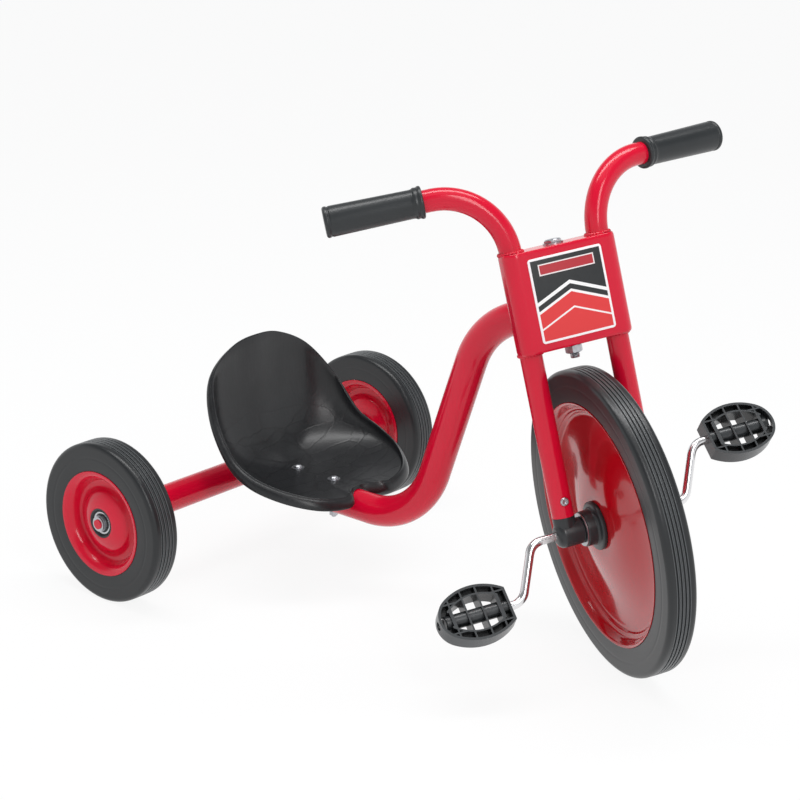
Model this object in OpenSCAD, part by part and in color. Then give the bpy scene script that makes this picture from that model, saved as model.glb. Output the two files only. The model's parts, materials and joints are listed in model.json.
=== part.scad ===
// Low rider tricycle: a bent tube frame on two small rear wheels, a scoop seat,
// and a steered fork whose large front wheel turns with a one-piece pedal crank.
// Millimetres. X points forward, Y to the rider's left, Z up. The origin lies on
// the ground below the middle of the length.

/* [Layout] */
// Distance from the rear axle to the steering axis, at the front axle's height
wheelbase = 563.5; // [520:0.5:620]
// Distance between the middle planes of the rear tyres
track = 478; // [430:1:540]

/* [Pose] */
// Steering angle from straight ahead, negative to the right
steer_angle = -30; // [-40:1:40]
// Angle of the right crank arm from the fork's upward line towards the front
crank_angle = 170; // [0:1:359]
// Tilt of the pedals' tread from the fork's forward line
pedal_tilt = -54; // [-80:1:80]

/* [Main tube] */
// Outside diameter of the main tube
main_tube_d = 38; // [34:0.5:42]
// Wall of the main tube
main_tube_wall = 2; // [1.5:0.1:3]
// Corner of the lower bend, ahead of the rear axle
lower_corner = 287; // [275:1:305]
// Run of the top of the tube from the steering axis back to the upper corner
top_run = 119.5; // [110:0.5:130]
// Centre-line radius of both bends
main_bend_r = 106; // [90:1:115]
// Height above the head bracket's lower face, along the steering axis, where the tube meets the head tube
join_rise = 35; // [29:1:74]

/* [Rear axle] */
// Outside diameter of the cross tube
cross_tube_d = 36; // [30:0.5:38]
// Wall of the cross tube
cross_tube_wall = 2.5; // [2:0.1:4]
// Diameter of the rear axle rod
axle_d = 12; // [10:0.5:14]
// Length of each plug that centres the rod in the cross tube
axle_plug_l = 16; // [10:1:25]
// Length of rod that stands out of each wheel's hub
axle_end = 5.5; // [5:0.1:9]
// Diameter of the retaining rings on the rod's ends
axle_ring_d = 18.5; // [16:0.5:22]
// Thickness of the retaining rings
axle_ring_t = 2.4; // [1.5:0.1:3]
// Diameter of the thrust washers beside the hubs
axle_washer_d = 20; // [17:0.5:24]
// Thickness of the thrust washers beside the hubs
axle_washer_t = 1.5; // [1:0.1:2]

/* [Rear wheels] */
// Diameter where the rear tyres are clamped between the discs
rear_seat_d = 108; // [104:1:112]
// Height of the rear tyres from their seat to their tread
rear_tyre_h = 46; // [36:0.5:56]
// Width of the rear tyres
rear_tyre_w = 38; // [34:0.5:44]
// Height of the rear rim lip above the tyre's seat
rear_lip_h = 12; // [8:0.5:16]
// Step from the tyre's seat in to the weld ring where the rear discs meet
rear_weld_step = 8; // [7:0.5:12]
// Distance of the rear discs' domed middle from the tyre's middle, at the hub
rear_web_face = 16; // [14:0.1:18]
// Diameter of the rear hub tubes
rear_hub_d = 37; // [33:0.5:42]
// Outside diameter of the rear wheel bearings
rear_bearing_d = 28; // [24:0.5:30]
// Width of each rear wheel bearing
rear_bearing_w = 8; // [5:0.1:12]

/* [Front wheel] */
// Diameter where the front tyre sits in the rim
front_seat_d = 262; // [250:1:266]
// Height of the front tyre from its seat to its tread
front_tyre_h = 46.8; // [38:0.1:52]
// Width of the front tyre
front_tyre_w = 34; // [32:0.5:38]
// Height of the front rim lip above the tyre's seat
front_lip_h = 11; // [8:0.5:15]
// Step from the tyre's seat in to the weld ring where the front discs meet
front_weld_step = 8; // [7:0.5:14]
// Distance of the front web's face from the tyre's middle, at the hub
front_web_face = 15; // [12:0.1:16]

/* [Tyres and discs] */
// Radius of the tyres' tread shoulders
shoulder_r = 6; // [4:0.1:8]
// Depth of the tread grooves
groove_depth = 1.8; // [1:0.1:3]
// Width of the tread grooves
groove_w = 2; // [1.2:0.1:2.6]
// Grooves round each tyre
groove_count = 4; // [2:1:5]
// Sheet thickness of the wheel discs
disc_t = 1.6; // [1:0.1:2.2]

/* [Hub and bearings] */
// Diameter of the hub bosses' barrels
boss_d = 40; // [34:0.5:44]
// Diameter of the hub bosses' flanges
boss_flange_d = 56; // [48:0.5:62]
// Thickness of the hub bosses' flanges
boss_flange_t = 4.5; // [3:0.1:6]
// Distance from the wheel's middle to the outer face of each boss
boss_face = 33.5; // [30:0.5:36]
// Outside diameter of the steel sleeve inside the hub
hub_sleeve_d = 18; // [16:0.5:22]
// Diameter of the pin that locks the hub to the crank
drive_pin_d = 5; // [4:0.1:6]
// Diameter of the washers between bosses and bearing blocks
thrust_washer_d = 38; // [30:0.5:40]
// Thickness of those washers
thrust_washer_t = 1.2; // [0.8:0.1:1.6]
// Diameter of the bearing blocks' barrels
block_d = 30; // [26:0.5:34]
// Distance from the wheel's middle to the outer face of each bearing block
block_face = 66; // [64:0.5:70]
// Length of the bearing block's stub inside the fork leg
block_stub_l = 42; // [30:1:60]

/* [Crank and pedals] */
// Diameter of the crank rod
crank_d = 10; // [9:0.1:12]
// Throw of the crank: distance from the axle's line to the spindles' lines
crank_r = 60; // [50:1:80]
// Distance from the wheel's middle to each arm's corner on the axle
crank_plane = 96; // [92:0.5:102]
// Outward lean of each arm from the axle to the spindle
arm_splay = 27; // [15:0.5:32]
// Centre-line radius of the crank's bends
crank_bend_r = 18; // [12:0.5:20]
// Distance from the wheel's middle to the pedals' inner edge
pedal_in = 140; // [138:0.5:155]
// Length of the pedals along the spindle
pedal_l = 84; // [78:0.5:96]
// Width of the pedals
pedal_w = 65.5; // [60:0.5:72]
// Thickness of the pedals
pedal_t = 20; // [18:0.5:26]
// Wall of the pedals
pedal_wall = 3; // [2:0.1:4]

/* [Fork and handlebar] */
// Distance between the fork legs' centre lines
fork_spacing = 105.4; // [103:0.2:112]
// Outside diameter of the fork and handlebar tubes
fork_tube_d = 25.4; // [23:0.1:27]
// Wall of the fork and handlebar tubes
fork_tube_wall = 2; // [1.5:0.1:3]
// Height of the legs' lower ends above the front axle
leg_low = 20; // [17:0.5:24]
// Offset of the front axle ahead of the steering axis
fork_rake = 3.5; // [0:0.5:6]
// Backward tilt of the steering axis
head_tilt = 16.2; // [12:0.1:20]
// Straight stretch of tube between the head bracket and the handlebar's bend
bar_stub = 1; // [0.5:0.5:30]
// Centre-line radius of the handlebar bends
bar_bend_r = 74; // [60:1:76]
// Backward sweep of the grips
bar_sweep = 15; // [5:0.5:25]
// Distance from the handlebar's corner to the grip's inner end
grip_start = 82.5; // [76:0.5:105]
// Length of the grips
grip_l = 110; // [92:1:128]
// Diameter of the grips at their outer end
grip_d = 35; // [32:0.5:38]
// Diameter of the grips' inner flange
grip_flange_d = 37; // [36:0.5:44]

/* [Steering head] */
// Gap between the front tyre's tread and the head bracket above it
crown_gap = 28.2; // [24:0.1:36]
// Height of the head bracket
bracket_h = 112.5; // [104:0.5:124]
// Sheet thickness of the head bracket
bracket_wall = 2; // [1.5:0.1:3.5]
// Distance of the bracket's front face ahead of the fork tubes
bracket_front = 22; // [21:0.5:26]
// Reach of the bracket's flanges behind the fork tubes
bracket_back = 18; // [16:0.5:24]
// Diameter of the head tube
head_tube_d = 40; // [36:0.5:42]
// Wall of the head tube
head_tube_wall = 3; // [2:0.1:4]
// Thickness of the bushes' flanges
bush_flange_t = 3; // [2:0.1:5]
// Depth of the bushes in the head tube
bush_depth = 18; // [12:1:30]
// Diameter of the kingpin bolt
kingpin_d = 11; // [9:0.5:13]
// Width of the kingpin head across its flats
kingpin_head_w = 18; // [16:0.5:22]
// Height of the kingpin's head
kingpin_head_h = 4; // [3:0.5:8]
// Height of the kingpin's nut
kingpin_nut_h = 9; // [6:0.5:12]
// Diameter of the kingpin washers
kingpin_washer_d = 23; // [20:0.5:26]
// Thickness of the kingpin washers
kingpin_washer_t = 1.5; // [1:0.1:2.5]
// Width of the plate on the bracket's front
plate_w = 88.5; // [70:0.5:98]
// Height of the plate on the bracket's front
plate_h = 94; // [70:0.5:98]
// Thickness of that plate
plate_t = 0.8; // [0.5:0.1:2]

/* [Seat] */
// Thickness of the seat's shell
seat_t = 4; // [3:0.1:6]
// Width of the seat at its rim
seat_w = 237; // [200:1:260]
// Length of the seat from its front lip to its back
seat_l = 186; // [170:1:210]
// Front lip of the seat ahead of the rear axle
seat_front = 205; // [196:1:208]
// Height of the backrest above the pan
back_h = 161; // [130:1:190]
// Outward reach of the turned rim
rim_reach = 9; // [7:0.5:12]
// Drop of the turned rim
rim_drop = 12; // [9:0.5:17]
// Rear seat bolt ahead of the rear axle
bolt_x = 88.5; // [80:0.5:95]
// Distance between the seat bolts
bolt_gap = 61; // [50:0.5:70]
// Diameter of the seat bolts
bolt_d = 6; // [5:0.1:8]
// Diameter of the seat bolts' heads
bolt_head_d = 11; // [10:0.5:14]
// Diameter of the seat washers
seat_washer_d = 16; // [14:0.5:20]

/* [Hidden] */
$fn = 64;

// Fits and clearances
run_fit = 0.05;
seat_fit = 0.05;
part_gap = 0.3;
overrun = 30;

// Bends: the rod's swell in radius, and the bend's lap over the straight at each end
bend_swell = 0.1;
bend_lap = 0.3;

// Small sizes of the hardware
bolt_head_h = 3.5;
seat_washer_t = 1.2;
spot_depth = 0.5;
nut_h = 5;
nut_w = 10;
bolt_tail = 2;
screw_d = 4;
screw_head_d = 10;
screw_head_h = 3;
screw_rise = 38.5;
spindle_ring_t = 2;
spindle_ring_d = 16;
spindle_tail = 2;
kingpin_tail = 6;
grip_lip_t = 3;
grip_end_t = 4;
grip_flange_t = 8;
grip_neck_d = 32;
sleeve_wall = 3.5;
pedal_rib = 2;
pedal_channel = 7;
pedal_pocket = 8;
pedal_end_r = 27;
pedal_recess = 14;

// Shares of the pedal's length where ribs cross it
rib_shares = [0.16, 0.38, 0.6, 0.8];
// Share of the pedal's width where its lengthwise ribs lie, from the middle
rib_side_share = 0.27;
// Share of the pedal's length at its widest place
pedal_wide_share = 0.45;
// Share of the cross tube's radius where the main tube's notched end begins
notch_share = 0.5;
// Share of the shoulder-to-shoulder tread that carries grooves
tread_share = 0.8;
// Exponent of the seat's scoop, and the share of its length where the scoop is lowest
scoop_power = 2.5;
scoop_share = 0.61;
// Rim of the seat from the front middle to the back middle, as shares of the seat's
// length behind its front lip, of its half width, and of the backrest's height
rim_shares = [
    [0.038, 0.00, 0.000], [0.005, 0.34, 0.005], [0.065, 0.67, 0.043], [0.240, 0.90, 0.105],
    [0.450, 1.00, 0.183], [0.645, 0.97, 0.300], [0.823, 0.905, 0.573], [0.957, 0.70, 0.820],
    [1.000, 0.34, 0.963], [0.997, 0.00, 1.000]
];
// Steps of the seat's surface from the front to the back and from the pan to the rim
rim_steps = 24;
scoop_steps = 10;

// Radii
main_r = main_tube_d / 2;
cross_r = cross_tube_d / 2;
head_r = head_tube_d / 2;
fork_r = fork_tube_d / 2;
front_seat_r = front_seat_d / 2;
front_r = front_seat_r + front_tyre_h;
rear_seat_r = rear_seat_d / 2;
rear_r = rear_seat_r + rear_tyre_h;
crank_rod_r = crank_d / 2;
half_fork = fork_spacing / 2;

// Directions of the front axle and of the fork's forward line
axle_x = -sin(steer_angle) * cos(head_tilt);
axle_z = -sin(steer_angle) * sin(head_tilt);
fork_z = cos(steer_angle) * sin(head_tilt);

// The front tyre's outermost reach from its centre along a direction with this axle share
function tyre_reach(share) =
    (front_r - shoulder_r) * sqrt(1 - share * share)
    + (front_tyre_w / 2 - shoulder_r) * abs(share) + shoulder_r;

// The steering axis at the front axle's height, and the middle of the tricycle's length
axis_z = tyre_reach(axle_z) - fork_rake * fork_z;
front_x = wheelbase + fork_rake * cos(steer_angle) * cos(head_tilt);
middle_x = (front_x + tyre_reach(axle_x) - rear_r) / 2;

// Heights on the steering axis, above the front axle
bracket_low = front_r + crown_gap;
bracket_top = bracket_low + bracket_h;
head_low = bracket_low + bracket_wall + part_gap + bush_flange_t;
head_top = bracket_top - bracket_wall - part_gap - bush_flange_t;
head_join = bracket_low + join_rise;
bar_rise = bracket_top + bar_stub + bar_bend_r;

// Corners of the main tube in its own plane, as [forward, up] from the rear axle's foot
tube_start = [cross_r * notch_share, rear_r];
low_corner = [lower_corner, rear_r];
tube_end = [wheelbase - head_join * sin(head_tilt), axis_z + head_join * cos(head_tilt)];
high_corner = tube_end - top_run * [cos(head_tilt), sin(head_tilt)];
main_line = [tube_start, low_corner, high_corner, tube_end];

// Places across the rear wheels, from the tyre's middle
hub_face = rear_web_face;
cross_half = track / 2 - hub_face - part_gap - axle_washer_t - seat_fit;
axle_half = track / 2 + hub_face + axle_end;

// Places on the pan
pan_z = rear_r + main_r + part_gap + seat_t;
bolt_places = [bolt_x, bolt_x + bolt_gap];

// Points on an arc, as [x, y], from one angle to another
function arc(centre, r, from, to, steps) =
    [for (i = [0:steps]) let (a = from + (to - from) * i / steps) centre + r * [cos(a), sin(a)]];
function flip(list) = [for (i = [len(list) - 1:-1:0]) list[i]];
function mirror_y(list) = [for (p = list) [p[0], -p[1]]];
function unit(v) = v / norm(v);
function left_of(v) = [-v[1], v[0]];
function cross2(p, q) = p[0] * q[1] - p[1] * q[0];

// A line of points moved sideways by a distance, with mitred corners
function beside(points, gap) = [
    for (i = [0:len(points) - 1])
        let (
            before = unit(points[max(i, 1)] - points[max(i, 1) - 1]),
            last = len(points) - 2,
            after = unit(points[min(i, last) + 1] - points[min(i, last)]),
            normal = unit(left_of(before) + left_of(after))
        )
        points[i] + normal * gap / (normal * left_of(before))
];

// Places
module in_frame() {
    translate([-middle_x, 0, 0]) children();
}

module on_axis() {
    in_frame() translate([wheelbase, 0, axis_z]) rotate([0, -head_tilt, 0]) children();
}

module on_fork() {
    on_axis() rotate([0, 0, steer_angle]) translate([fork_rake, 0, 0]) children();
}

module on_kingpin() {
    on_fork() translate([-fork_rake, 0, 0]) children();
}

// Side of the fork: -1 right, 1 left
module fork_side(side) {
    on_fork() translate([0, side * half_fork, 0]) children();
}

// Axle of the front wheel along Z of the children
module on_front_axle(side) {
    on_fork() rotate([-90 * side, 0, 0]) children();
}

// Axle of a rear wheel along Z of the children, pointing outwards
module on_rear_axle(side) {
    in_frame() translate([0, side * track / 2, rear_r]) rotate([-90 * side, 0, 0]) children();
}

module on_spindle(side) {
    on_fork() translate([-side * crank_r * sin(crank_angle), 0, -side * crank_r * cos(crank_angle)])
        rotate([0, -pedal_tilt, 0]) children();
}

// Shapes that repeat
module ring(d, bore, h) {
    difference() {
        cylinder(d = d, h = h);
        translate([0, 0, -overrun]) cylinder(d = bore, h = h + 2 * overrun);
    }
}

// A round rod along corner points in the XY plane, with every corner bent to one radius
module bent_rod(points, bend_r, r) {
    last = len(points) - 1;
    lap = atan(bend_lap / bend_r);
    ways = [for (i = [0:last - 1]) unit(points[i + 1] - points[i])];
    turns = [
        for (i = [0:last])
            (i == 0 || i == last) ? 0
            : atan2(cross2(ways[i - 1], ways[i]), ways[i - 1] * ways[i])
    ];
    cuts = [for (t = turns) bend_r * tan(abs(t) / 2)];
    for (i = [0:last - 1]) {
        from = points[i] + ways[i] * cuts[i];
        to = points[i + 1] - ways[i] * cuts[i + 1];
        translate([from[0], from[1], 0]) rotate([0, 0, atan2(ways[i][1], ways[i][0])])
            rotate([0, 90, 0]) cylinder(r = r, h = norm(to - from));
    }
    for (i = [1:last - 1]) {
        hand = sign(turns[i]);
        start = points[i] - ways[i - 1] * cuts[i];
        hub = start + left_of(ways[i - 1]) * bend_r * hand;
        first = atan2(start[1] - hub[1], start[0] - hub[0]);
        translate([hub[0], hub[1], 0]) rotate([0, 0, (hand > 0 ? first : first + turns[i]) - lap])
            rotate_extrude(angle = abs(turns[i]) + 2 * lap)
                translate([bend_r, 0, 0]) circle(r = r + bend_swell);
    }
}

function stretched(points, more) = let (last = len(points) - 1) [
    for (i = [0:last])
        i == 0 ? points[0] - unit(points[1] - points[0]) * more
        : i == last ? points[last] + unit(points[last] - points[last - 1]) * more
        : points[i]
];

module bent_tube(points, bend_r, r, wall) {
    difference() {
        bent_rod(points, bend_r, r);
        bent_rod(stretched(points, overrun), bend_r, r - wall);
    }
}

// Main frame
module cross_bar(r, half) {
    in_frame() translate([0, half, rear_r]) rotate([90, 0, 0]) cylinder(r = r, h = 2 * half);
}

module seat_bolt_shanks(d) {
    for (x = bolt_places)
        in_frame() translate([x, 0, rear_r - main_r - overrun]) cylinder(d = d, h = 2 * (main_r + overrun));
}

module main_tube() {
    color("crimson") difference() {
        in_frame() rotate([90, 0, 0]) bent_tube(main_line, main_bend_r, main_r, main_tube_wall);
        cross_bar(cross_r + seat_fit, track / 2);
        on_axis() translate([0, 0, bracket_low]) cylinder(r = head_r + seat_fit, h = bracket_h);
        seat_bolt_shanks(bolt_d + 2 * seat_fit);
    }
}

module rear_cross_tube() {
    color("crimson") difference() {
        cross_bar(cross_r, cross_half);
        cross_bar(cross_r - cross_tube_wall, track / 2);
    }
}

module head_tube() {
    color("crimson") on_axis() translate([0, 0, head_low])
        ring(head_tube_d, head_tube_d - 2 * head_tube_wall, head_top - head_low);
}

// A flanged bush that points up out of the head tube
module head_bush() {
    difference() {
        union() {
            cylinder(r = head_r - seat_fit, h = bush_flange_t);
            translate([0, 0, -bush_depth])
                cylinder(r = head_r - head_tube_wall - seat_fit, h = bush_depth + bush_flange_t);
        }
        translate([0, 0, -overrun]) cylinder(d = kingpin_d + 2 * run_fit, h = bush_depth + 2 * overrun);
    }
}

module head_bush_upper() {
    color("dimgray") on_axis() translate([0, 0, head_top]) head_bush();
}

module head_bush_lower() {
    color("dimgray") on_axis() translate([0, 0, head_low]) mirror([0, 0, 1]) head_bush();
}

// Rear axle
module rear_axle() {
    color("silver") cross_bar(axle_d / 2, axle_half);
}

module both_ends() {
    for (side = [-1, 1]) on_rear_axle(side) children();
}

module axle_plugs() {
    color("dimgray") both_ends() translate([0, 0, cross_half - track / 2 - axle_plug_l])
        ring(cross_tube_d - 2 * cross_tube_wall - 2 * seat_fit, axle_d + 2 * seat_fit, axle_plug_l);
}

module axle_washers() {
    color("silver") both_ends() for (face = [-1, 1])
        translate([0, 0, face * (hub_face + part_gap + axle_washer_t / 2) - axle_washer_t / 2])
            ring(axle_washer_d, axle_d + 2 * seat_fit, axle_washer_t);
}

module axle_rings() {
    color("silver") both_ends() translate([0, 0, hub_face + part_gap + axle_washer_t + seat_fit])
        ring(axle_ring_d, axle_d + 2 * seat_fit, axle_ring_t);
}

// Seat
seat_centre = [seat_front - seat_l * scoop_share, 0, pan_z];

function rim_at(i) = let (
    last = len(rim_shares) - 1,
    side = (i < 0 || i > last) ? -1 : 1,
    s = rim_shares[i < 0 ? -i : i > last ? 2 * last - i : i]
) [seat_front - seat_l * s[0], side * s[1] * seat_w / 2, pan_z + back_h * s[2]];

// A smooth curve through the rim's places
function rim_curve(t) = let (
    i = min(floor(t), len(rim_shares) - 2),
    f = t - i,
    a = rim_at(i - 1),
    b = rim_at(i),
    c = rim_at(i + 1),
    d = rim_at(i + 2)
) b + f * (c - a) / 2 + f * f * (2 * a - 5 * b + 4 * c - d) / 2 + f * f * f * (3 * b - a - 3 * c + d) / 2;

rim_points = let (
    half = [for (j = [0:rim_steps]) rim_curve(j * (len(rim_shares) - 1) / rim_steps)]
) concat(half, [for (j = [rim_steps - 1:-1:1]) [half[j][0], -half[j][1], half[j][2]]]);

function outward(p) = unit([p[0] - seat_centre[0], p[1] - seat_centre[1], 0]);
function rim_ring(out, drop) = [for (p = rim_points) p + outward(p) * out - [0, 0, drop]];

// One ring of the scoop between the pan's centre and a rim
function scoop_ring(rim, centre, angle) = let (
    flat = pow(sin(angle), 2 / scoop_power),
    rise = 1 - pow(cos(angle), 2 / scoop_power)
) [
    for (p = rim) [
        centre[0] + (p[0] - centre[0]) * flat,
        centre[1] + (p[1] - centre[1]) * flat,
        centre[2] + (p[2] - centre[2]) * rise
    ]
];

module seat_shell() {
    under = rim_ring(seat_t, seat_t);
    low = seat_centre - [0, 0, seat_t];
    angles = [for (i = [1:scoop_steps]) 90 * i / scoop_steps];
    rings = concat(
        [for (a = angles) scoop_ring(rim_points, seat_centre, a)],
        [
            rim_ring(rim_reach - seat_t, 0),
            rim_ring(rim_reach, seat_t / 2),
            rim_ring(rim_reach, rim_drop),
            rim_ring(rim_reach - seat_t / 2, rim_drop),
            rim_ring(rim_reach - seat_t / 2, seat_t)
        ],
        [for (a = flip(angles)) scoop_ring(under, low, a)]
    );
    count = len(rim_points);
    total = len(rings) * count;
    points = concat([for (r = rings) each r], [seat_centre, low]);
    faces = concat(
        [
            for (i = [0:len(rings) - 2], j = [0:count - 1])
                let (k = (j + 1) % count, p = i * count, q = p + count)
                each [[p + j, q + j, q + k], [p + j, q + k, p + k]]
        ],
        [for (j = [0:count - 1]) [total, j, (j + 1) % count]],
        [for (j = [0:count - 1]) [total + 1, total - count + (j + 1) % count, total - count + j]]
    );
    polyhedron(points = points, faces = faces, convexity = 4);
}

module seat() {
    color("dimgray") difference() {
        in_frame() seat_shell();
        in_frame() rotate([90, 0, 0]) bent_rod(main_line, main_bend_r, main_r + part_gap);
        seat_bolt_shanks(bolt_d + 2 * seat_fit);
        at_bolts(pan_z - spot_depth) cylinder(d = seat_washer_d + 2 * part_gap, h = overrun);
    }
}

module at_bolts(z) {
    for (x = bolt_places) in_frame() translate([x, 0, z]) children();
}

washer_low = pan_z - spot_depth + seat_fit;
washer_top = washer_low + seat_washer_t;
nut_low = rear_r - main_r - seat_fit - nut_h;

module seat_bolts() {
    color("silver") {
        at_bolts(washer_top + seat_fit) cylinder(d = bolt_head_d, h = bolt_head_h);
        at_bolts(nut_low - bolt_tail) cylinder(d = bolt_d, h = washer_top + seat_fit - nut_low + bolt_tail);
    }
}

module seat_washers() {
    color("silver") at_bolts(washer_low) ring(seat_washer_d, bolt_d + 2 * seat_fit, seat_washer_t);
}

module seat_nuts() {
    color("silver") at_bolts(nut_low) difference() {
        cylinder(d = nut_w / cos(30), h = nut_h, $fn = 6);
        translate([0, 0, -overrun]) cylinder(d = bolt_d + 2 * seat_fit, h = 2 * overrun);
    }
}

// Fork
bar_points = [[0, leg_low], [0, bar_rise], [grip_start + grip_l - grip_end_t - part_gap, bar_rise]];

// The plane of one side's bent tube, with X outwards along the grip and Y up
module bar_plane(side) {
    fork_side(side) rotate([0, 0, side * (90 + bar_sweep)]) rotate([90, 0, 0]) children();
}

module screw_hole(side, d) {
    fork_side(side) translate([0, 0, screw_rise]) rotate([0, 90, 0])
        cylinder(d = d, h = fork_r + screw_head_h);
}

module fork_tube(side) {
    color("crimson") difference() {
        bar_plane(side) bent_tube(bar_points, bar_bend_r, fork_r, fork_tube_wall);
        screw_hole(side, screw_d + 2 * seat_fit);
    }
}

module fork_tube_left() {
    fork_tube(1);
}

module fork_tube_right() {
    fork_tube(-1);
}

// A grip along Z, open at its inner end
module grip() {
    bore = fork_r + seat_fit;
    neck = grip_neck_d / 2;
    tip = grip_d / 2;
    lip = grip_l - grip_lip_t;
    rotate_extrude() polygon([
        [bore, 0], [grip_flange_d / 2 - seat_fit, 0], [grip_flange_d / 2, grip_flange_t],
        [neck, grip_flange_t + grip_lip_t], [tip - seat_fit, lip - grip_lip_t], [tip, lip],
        [tip - grip_lip_t, grip_l], [0, grip_l], [0, grip_l - grip_end_t], [bore, grip_l - grip_end_t]
    ]);
}

module grip_at(side) {
    color("dimgray") bar_plane(side) translate([grip_start, bar_rise, 0]) rotate([0, 90, 0]) grip();
}

module grip_left() {
    grip_at(1);
}

module grip_right() {
    grip_at(-1);
}

// Head bracket: a sheet that wraps both tubes, with a flange above and below the head tube
module bracket_form(inset, back) {
    wrap = fork_r + bracket_wall - inset;
    ahead = bracket_front - fork_r - bracket_wall;
    low = bracket_low + inset;
    tall = bracket_h - 2 * inset;
    for (side = [-1, 1]) translate([0, side * half_fork, low]) {
        cylinder(r = wrap, h = tall);
        translate([ahead, 0, 0]) cylinder(r = wrap, h = tall);
        translate([0, -wrap, 0]) cube([ahead, 2 * wrap, tall]);
    }
    translate([-back, -half_fork, low]) cube([bracket_front - inset + back, fork_spacing, tall]);
}

module head_bracket() {
    color("crimson") difference() {
        on_fork() bracket_form(0, bracket_back);
        on_fork() bracket_form(bracket_wall - seat_fit, overrun);
        for (side = [-1, 1]) fork_side(side) cylinder(r = fork_r + seat_fit, h = bar_rise);
        on_kingpin() cylinder(d = kingpin_d + 2 * seat_fit, h = bar_rise);
    }
}

module front_plate() {
    color("white") on_fork()
        translate([bracket_front + seat_fit, -plate_w / 2, bracket_low + (bracket_h - plate_h) / 2])
            cube([plate_t, plate_w, plate_h]);
}

pin_washer_low = bracket_low - seat_fit - kingpin_washer_t;
pin_washer_high = bracket_top + seat_fit;

module kingpin_bolt() {
    tail = pin_washer_low - seat_fit - kingpin_nut_h - kingpin_tail;
    head = pin_washer_high + kingpin_washer_t + seat_fit;
    color("silver") on_kingpin() {
        translate([0, 0, tail]) cylinder(d = kingpin_d, h = head - tail);
        translate([0, 0, head]) cylinder(d = kingpin_head_w / cos(30), h = kingpin_head_h, $fn = 6);
    }
}

module kingpin_washers() {
    color("silver") on_kingpin() for (z = [pin_washer_low, pin_washer_high])
        translate([0, 0, z]) ring(kingpin_washer_d, kingpin_d + 2 * seat_fit, kingpin_washer_t);
}

module kingpin_nut() {
    low = pin_washer_low - seat_fit - kingpin_nut_h;
    color("silver") on_kingpin() translate([0, 0, low]) difference() {
        cylinder(d = kingpin_head_w / cos(30), h = kingpin_nut_h, $fn = 6);
        translate([0, 0, -overrun]) cylinder(d = kingpin_d + 2 * seat_fit, h = 2 * overrun);
    }
}

// Bearing blocks under the fork legs
block_in = boss_face + part_gap + thrust_washer_t + part_gap;

module bearing_block(side) {
    color("dimgray") difference() {
        union() {
            on_front_axle(side) translate([0, 0, block_in]) cylinder(d = block_d, h = block_face - block_in);
            fork_side(side) cylinder(r = fork_r, h = leg_low - seat_fit);
            fork_side(side) cylinder(r = fork_r - fork_tube_wall - seat_fit, h = leg_low + block_stub_l);
        }
        on_front_axle(side) cylinder(d = crank_d + 2 * run_fit, h = block_face + overrun);
        screw_hole(side, screw_d + 2 * seat_fit);
    }
}

module bearing_block_left() {
    bearing_block(1);
}

module bearing_block_right() {
    bearing_block(-1);
}

module block_screws() {
    under_head = fork_r + seat_fit;
    color("silver") for (side = [-1, 1]) fork_side(side) translate([0, 0, screw_rise]) rotate([0, 90, 0]) {
        cylinder(d = screw_d, h = under_head);
        translate([0, 0, under_head]) cylinder(d = screw_head_d, h = screw_head_h);
    }
}

// Wheels: outlines as [radius, across], with the tyre's middle plane at zero
// A smooth rise from one place to another that is level at both ends
function ease(p, q, steps) = [
    for (i = [0:steps])
        let (along = i / steps, up = (1 - cos(180 * along)) / 2)
        [p[0] + (q[0] - p[0]) * along, p[1] + (q[1] - p[1]) * up]
];

// A fall from a level top to a foot, steeper as it goes out
function dome(top, foot, steps) = [
    for (i = [0:steps])
        let (along = i / steps)
        [top[0] + (foot[0] - top[0]) * along, top[1] + (foot[1] - top[1]) * along * along]
];

// Grooved tread from one shoulder to the other
function tread(r, half) = let (
    flat = (half - shoulder_r) * tread_share,
    step = 2 * flat / groove_count
) [
    for (i = [0:groove_count - 1])
        let (c = flat - step * (i + 1 / 2), bottom = r - groove_depth)
        each [
            [r, c + groove_w / 2], [bottom, c + groove_w / 4],
            [bottom, c - groove_w / 4], [r, c - groove_w / 2]
        ]
];

// A tyre between two rim flares, whose visible line is given from the seat to the lip
module tyre(r, half, seat_r, flare) {
    lip = flare[len(flare) - 1];
    shoulder = arc([r - shoulder_r, half - shoulder_r], shoulder_r, 90, 0, 8);
    outside = concat([[lip[0] + seat_fit, half]], shoulder);
    clear = beside(flare, -disc_t - seat_fit);
    inside = concat([[seat_r, lookup(seat_r, clear)]], [for (p = clear) if (p[0] > seat_r) p]);
    rotate_extrude($fn = 96)
        polygon(concat(outside, tread(r, half), flip(mirror_y(outside)), flip(mirror_y(inside)), inside));
}

module disc(line) {
    rotate_extrude($fn = 96) polygon(concat(line, flip(beside(line, -disc_t))));
}

front_half = front_tyre_w / 2;
weld_face = disc_t + seat_fit;
front_weld_r = front_seat_r - front_weld_step;
front_flare = ease(
    [(front_weld_r + front_seat_r) / 2, weld_face],
    [front_seat_r + front_lip_h, front_half], 8
);
front_web = ease([boss_flange_d / 2 + boss_flange_t, front_web_face], [front_weld_r, weld_face], 10);
front_line = concat([[hub_sleeve_d / 2 + seat_fit, front_web_face]], front_web, front_flare);

rear_half = rear_tyre_w / 2;
rear_weld_r = rear_seat_r - rear_weld_step;
rear_flare = ease(
    [(rear_weld_r + rear_seat_r) / 2, weld_face],
    [rear_seat_r + rear_lip_h, rear_half], 8
);
rear_dome = dome([rear_hub_d / 2 + seat_fit, rear_web_face], [rear_weld_r, weld_face], 8);
rear_line = concat(rear_dome, rear_flare);

// Front wheel
module front_tyre() {
    color("darkslategray") on_front_axle(1) tyre(front_r, front_half, front_seat_r, front_flare);
}

module front_disc_left() {
    color("firebrick") on_front_axle(1) disc(front_line);
}

module front_disc_right() {
    color("firebrick") on_front_axle(-1) disc(front_line);
}

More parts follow.
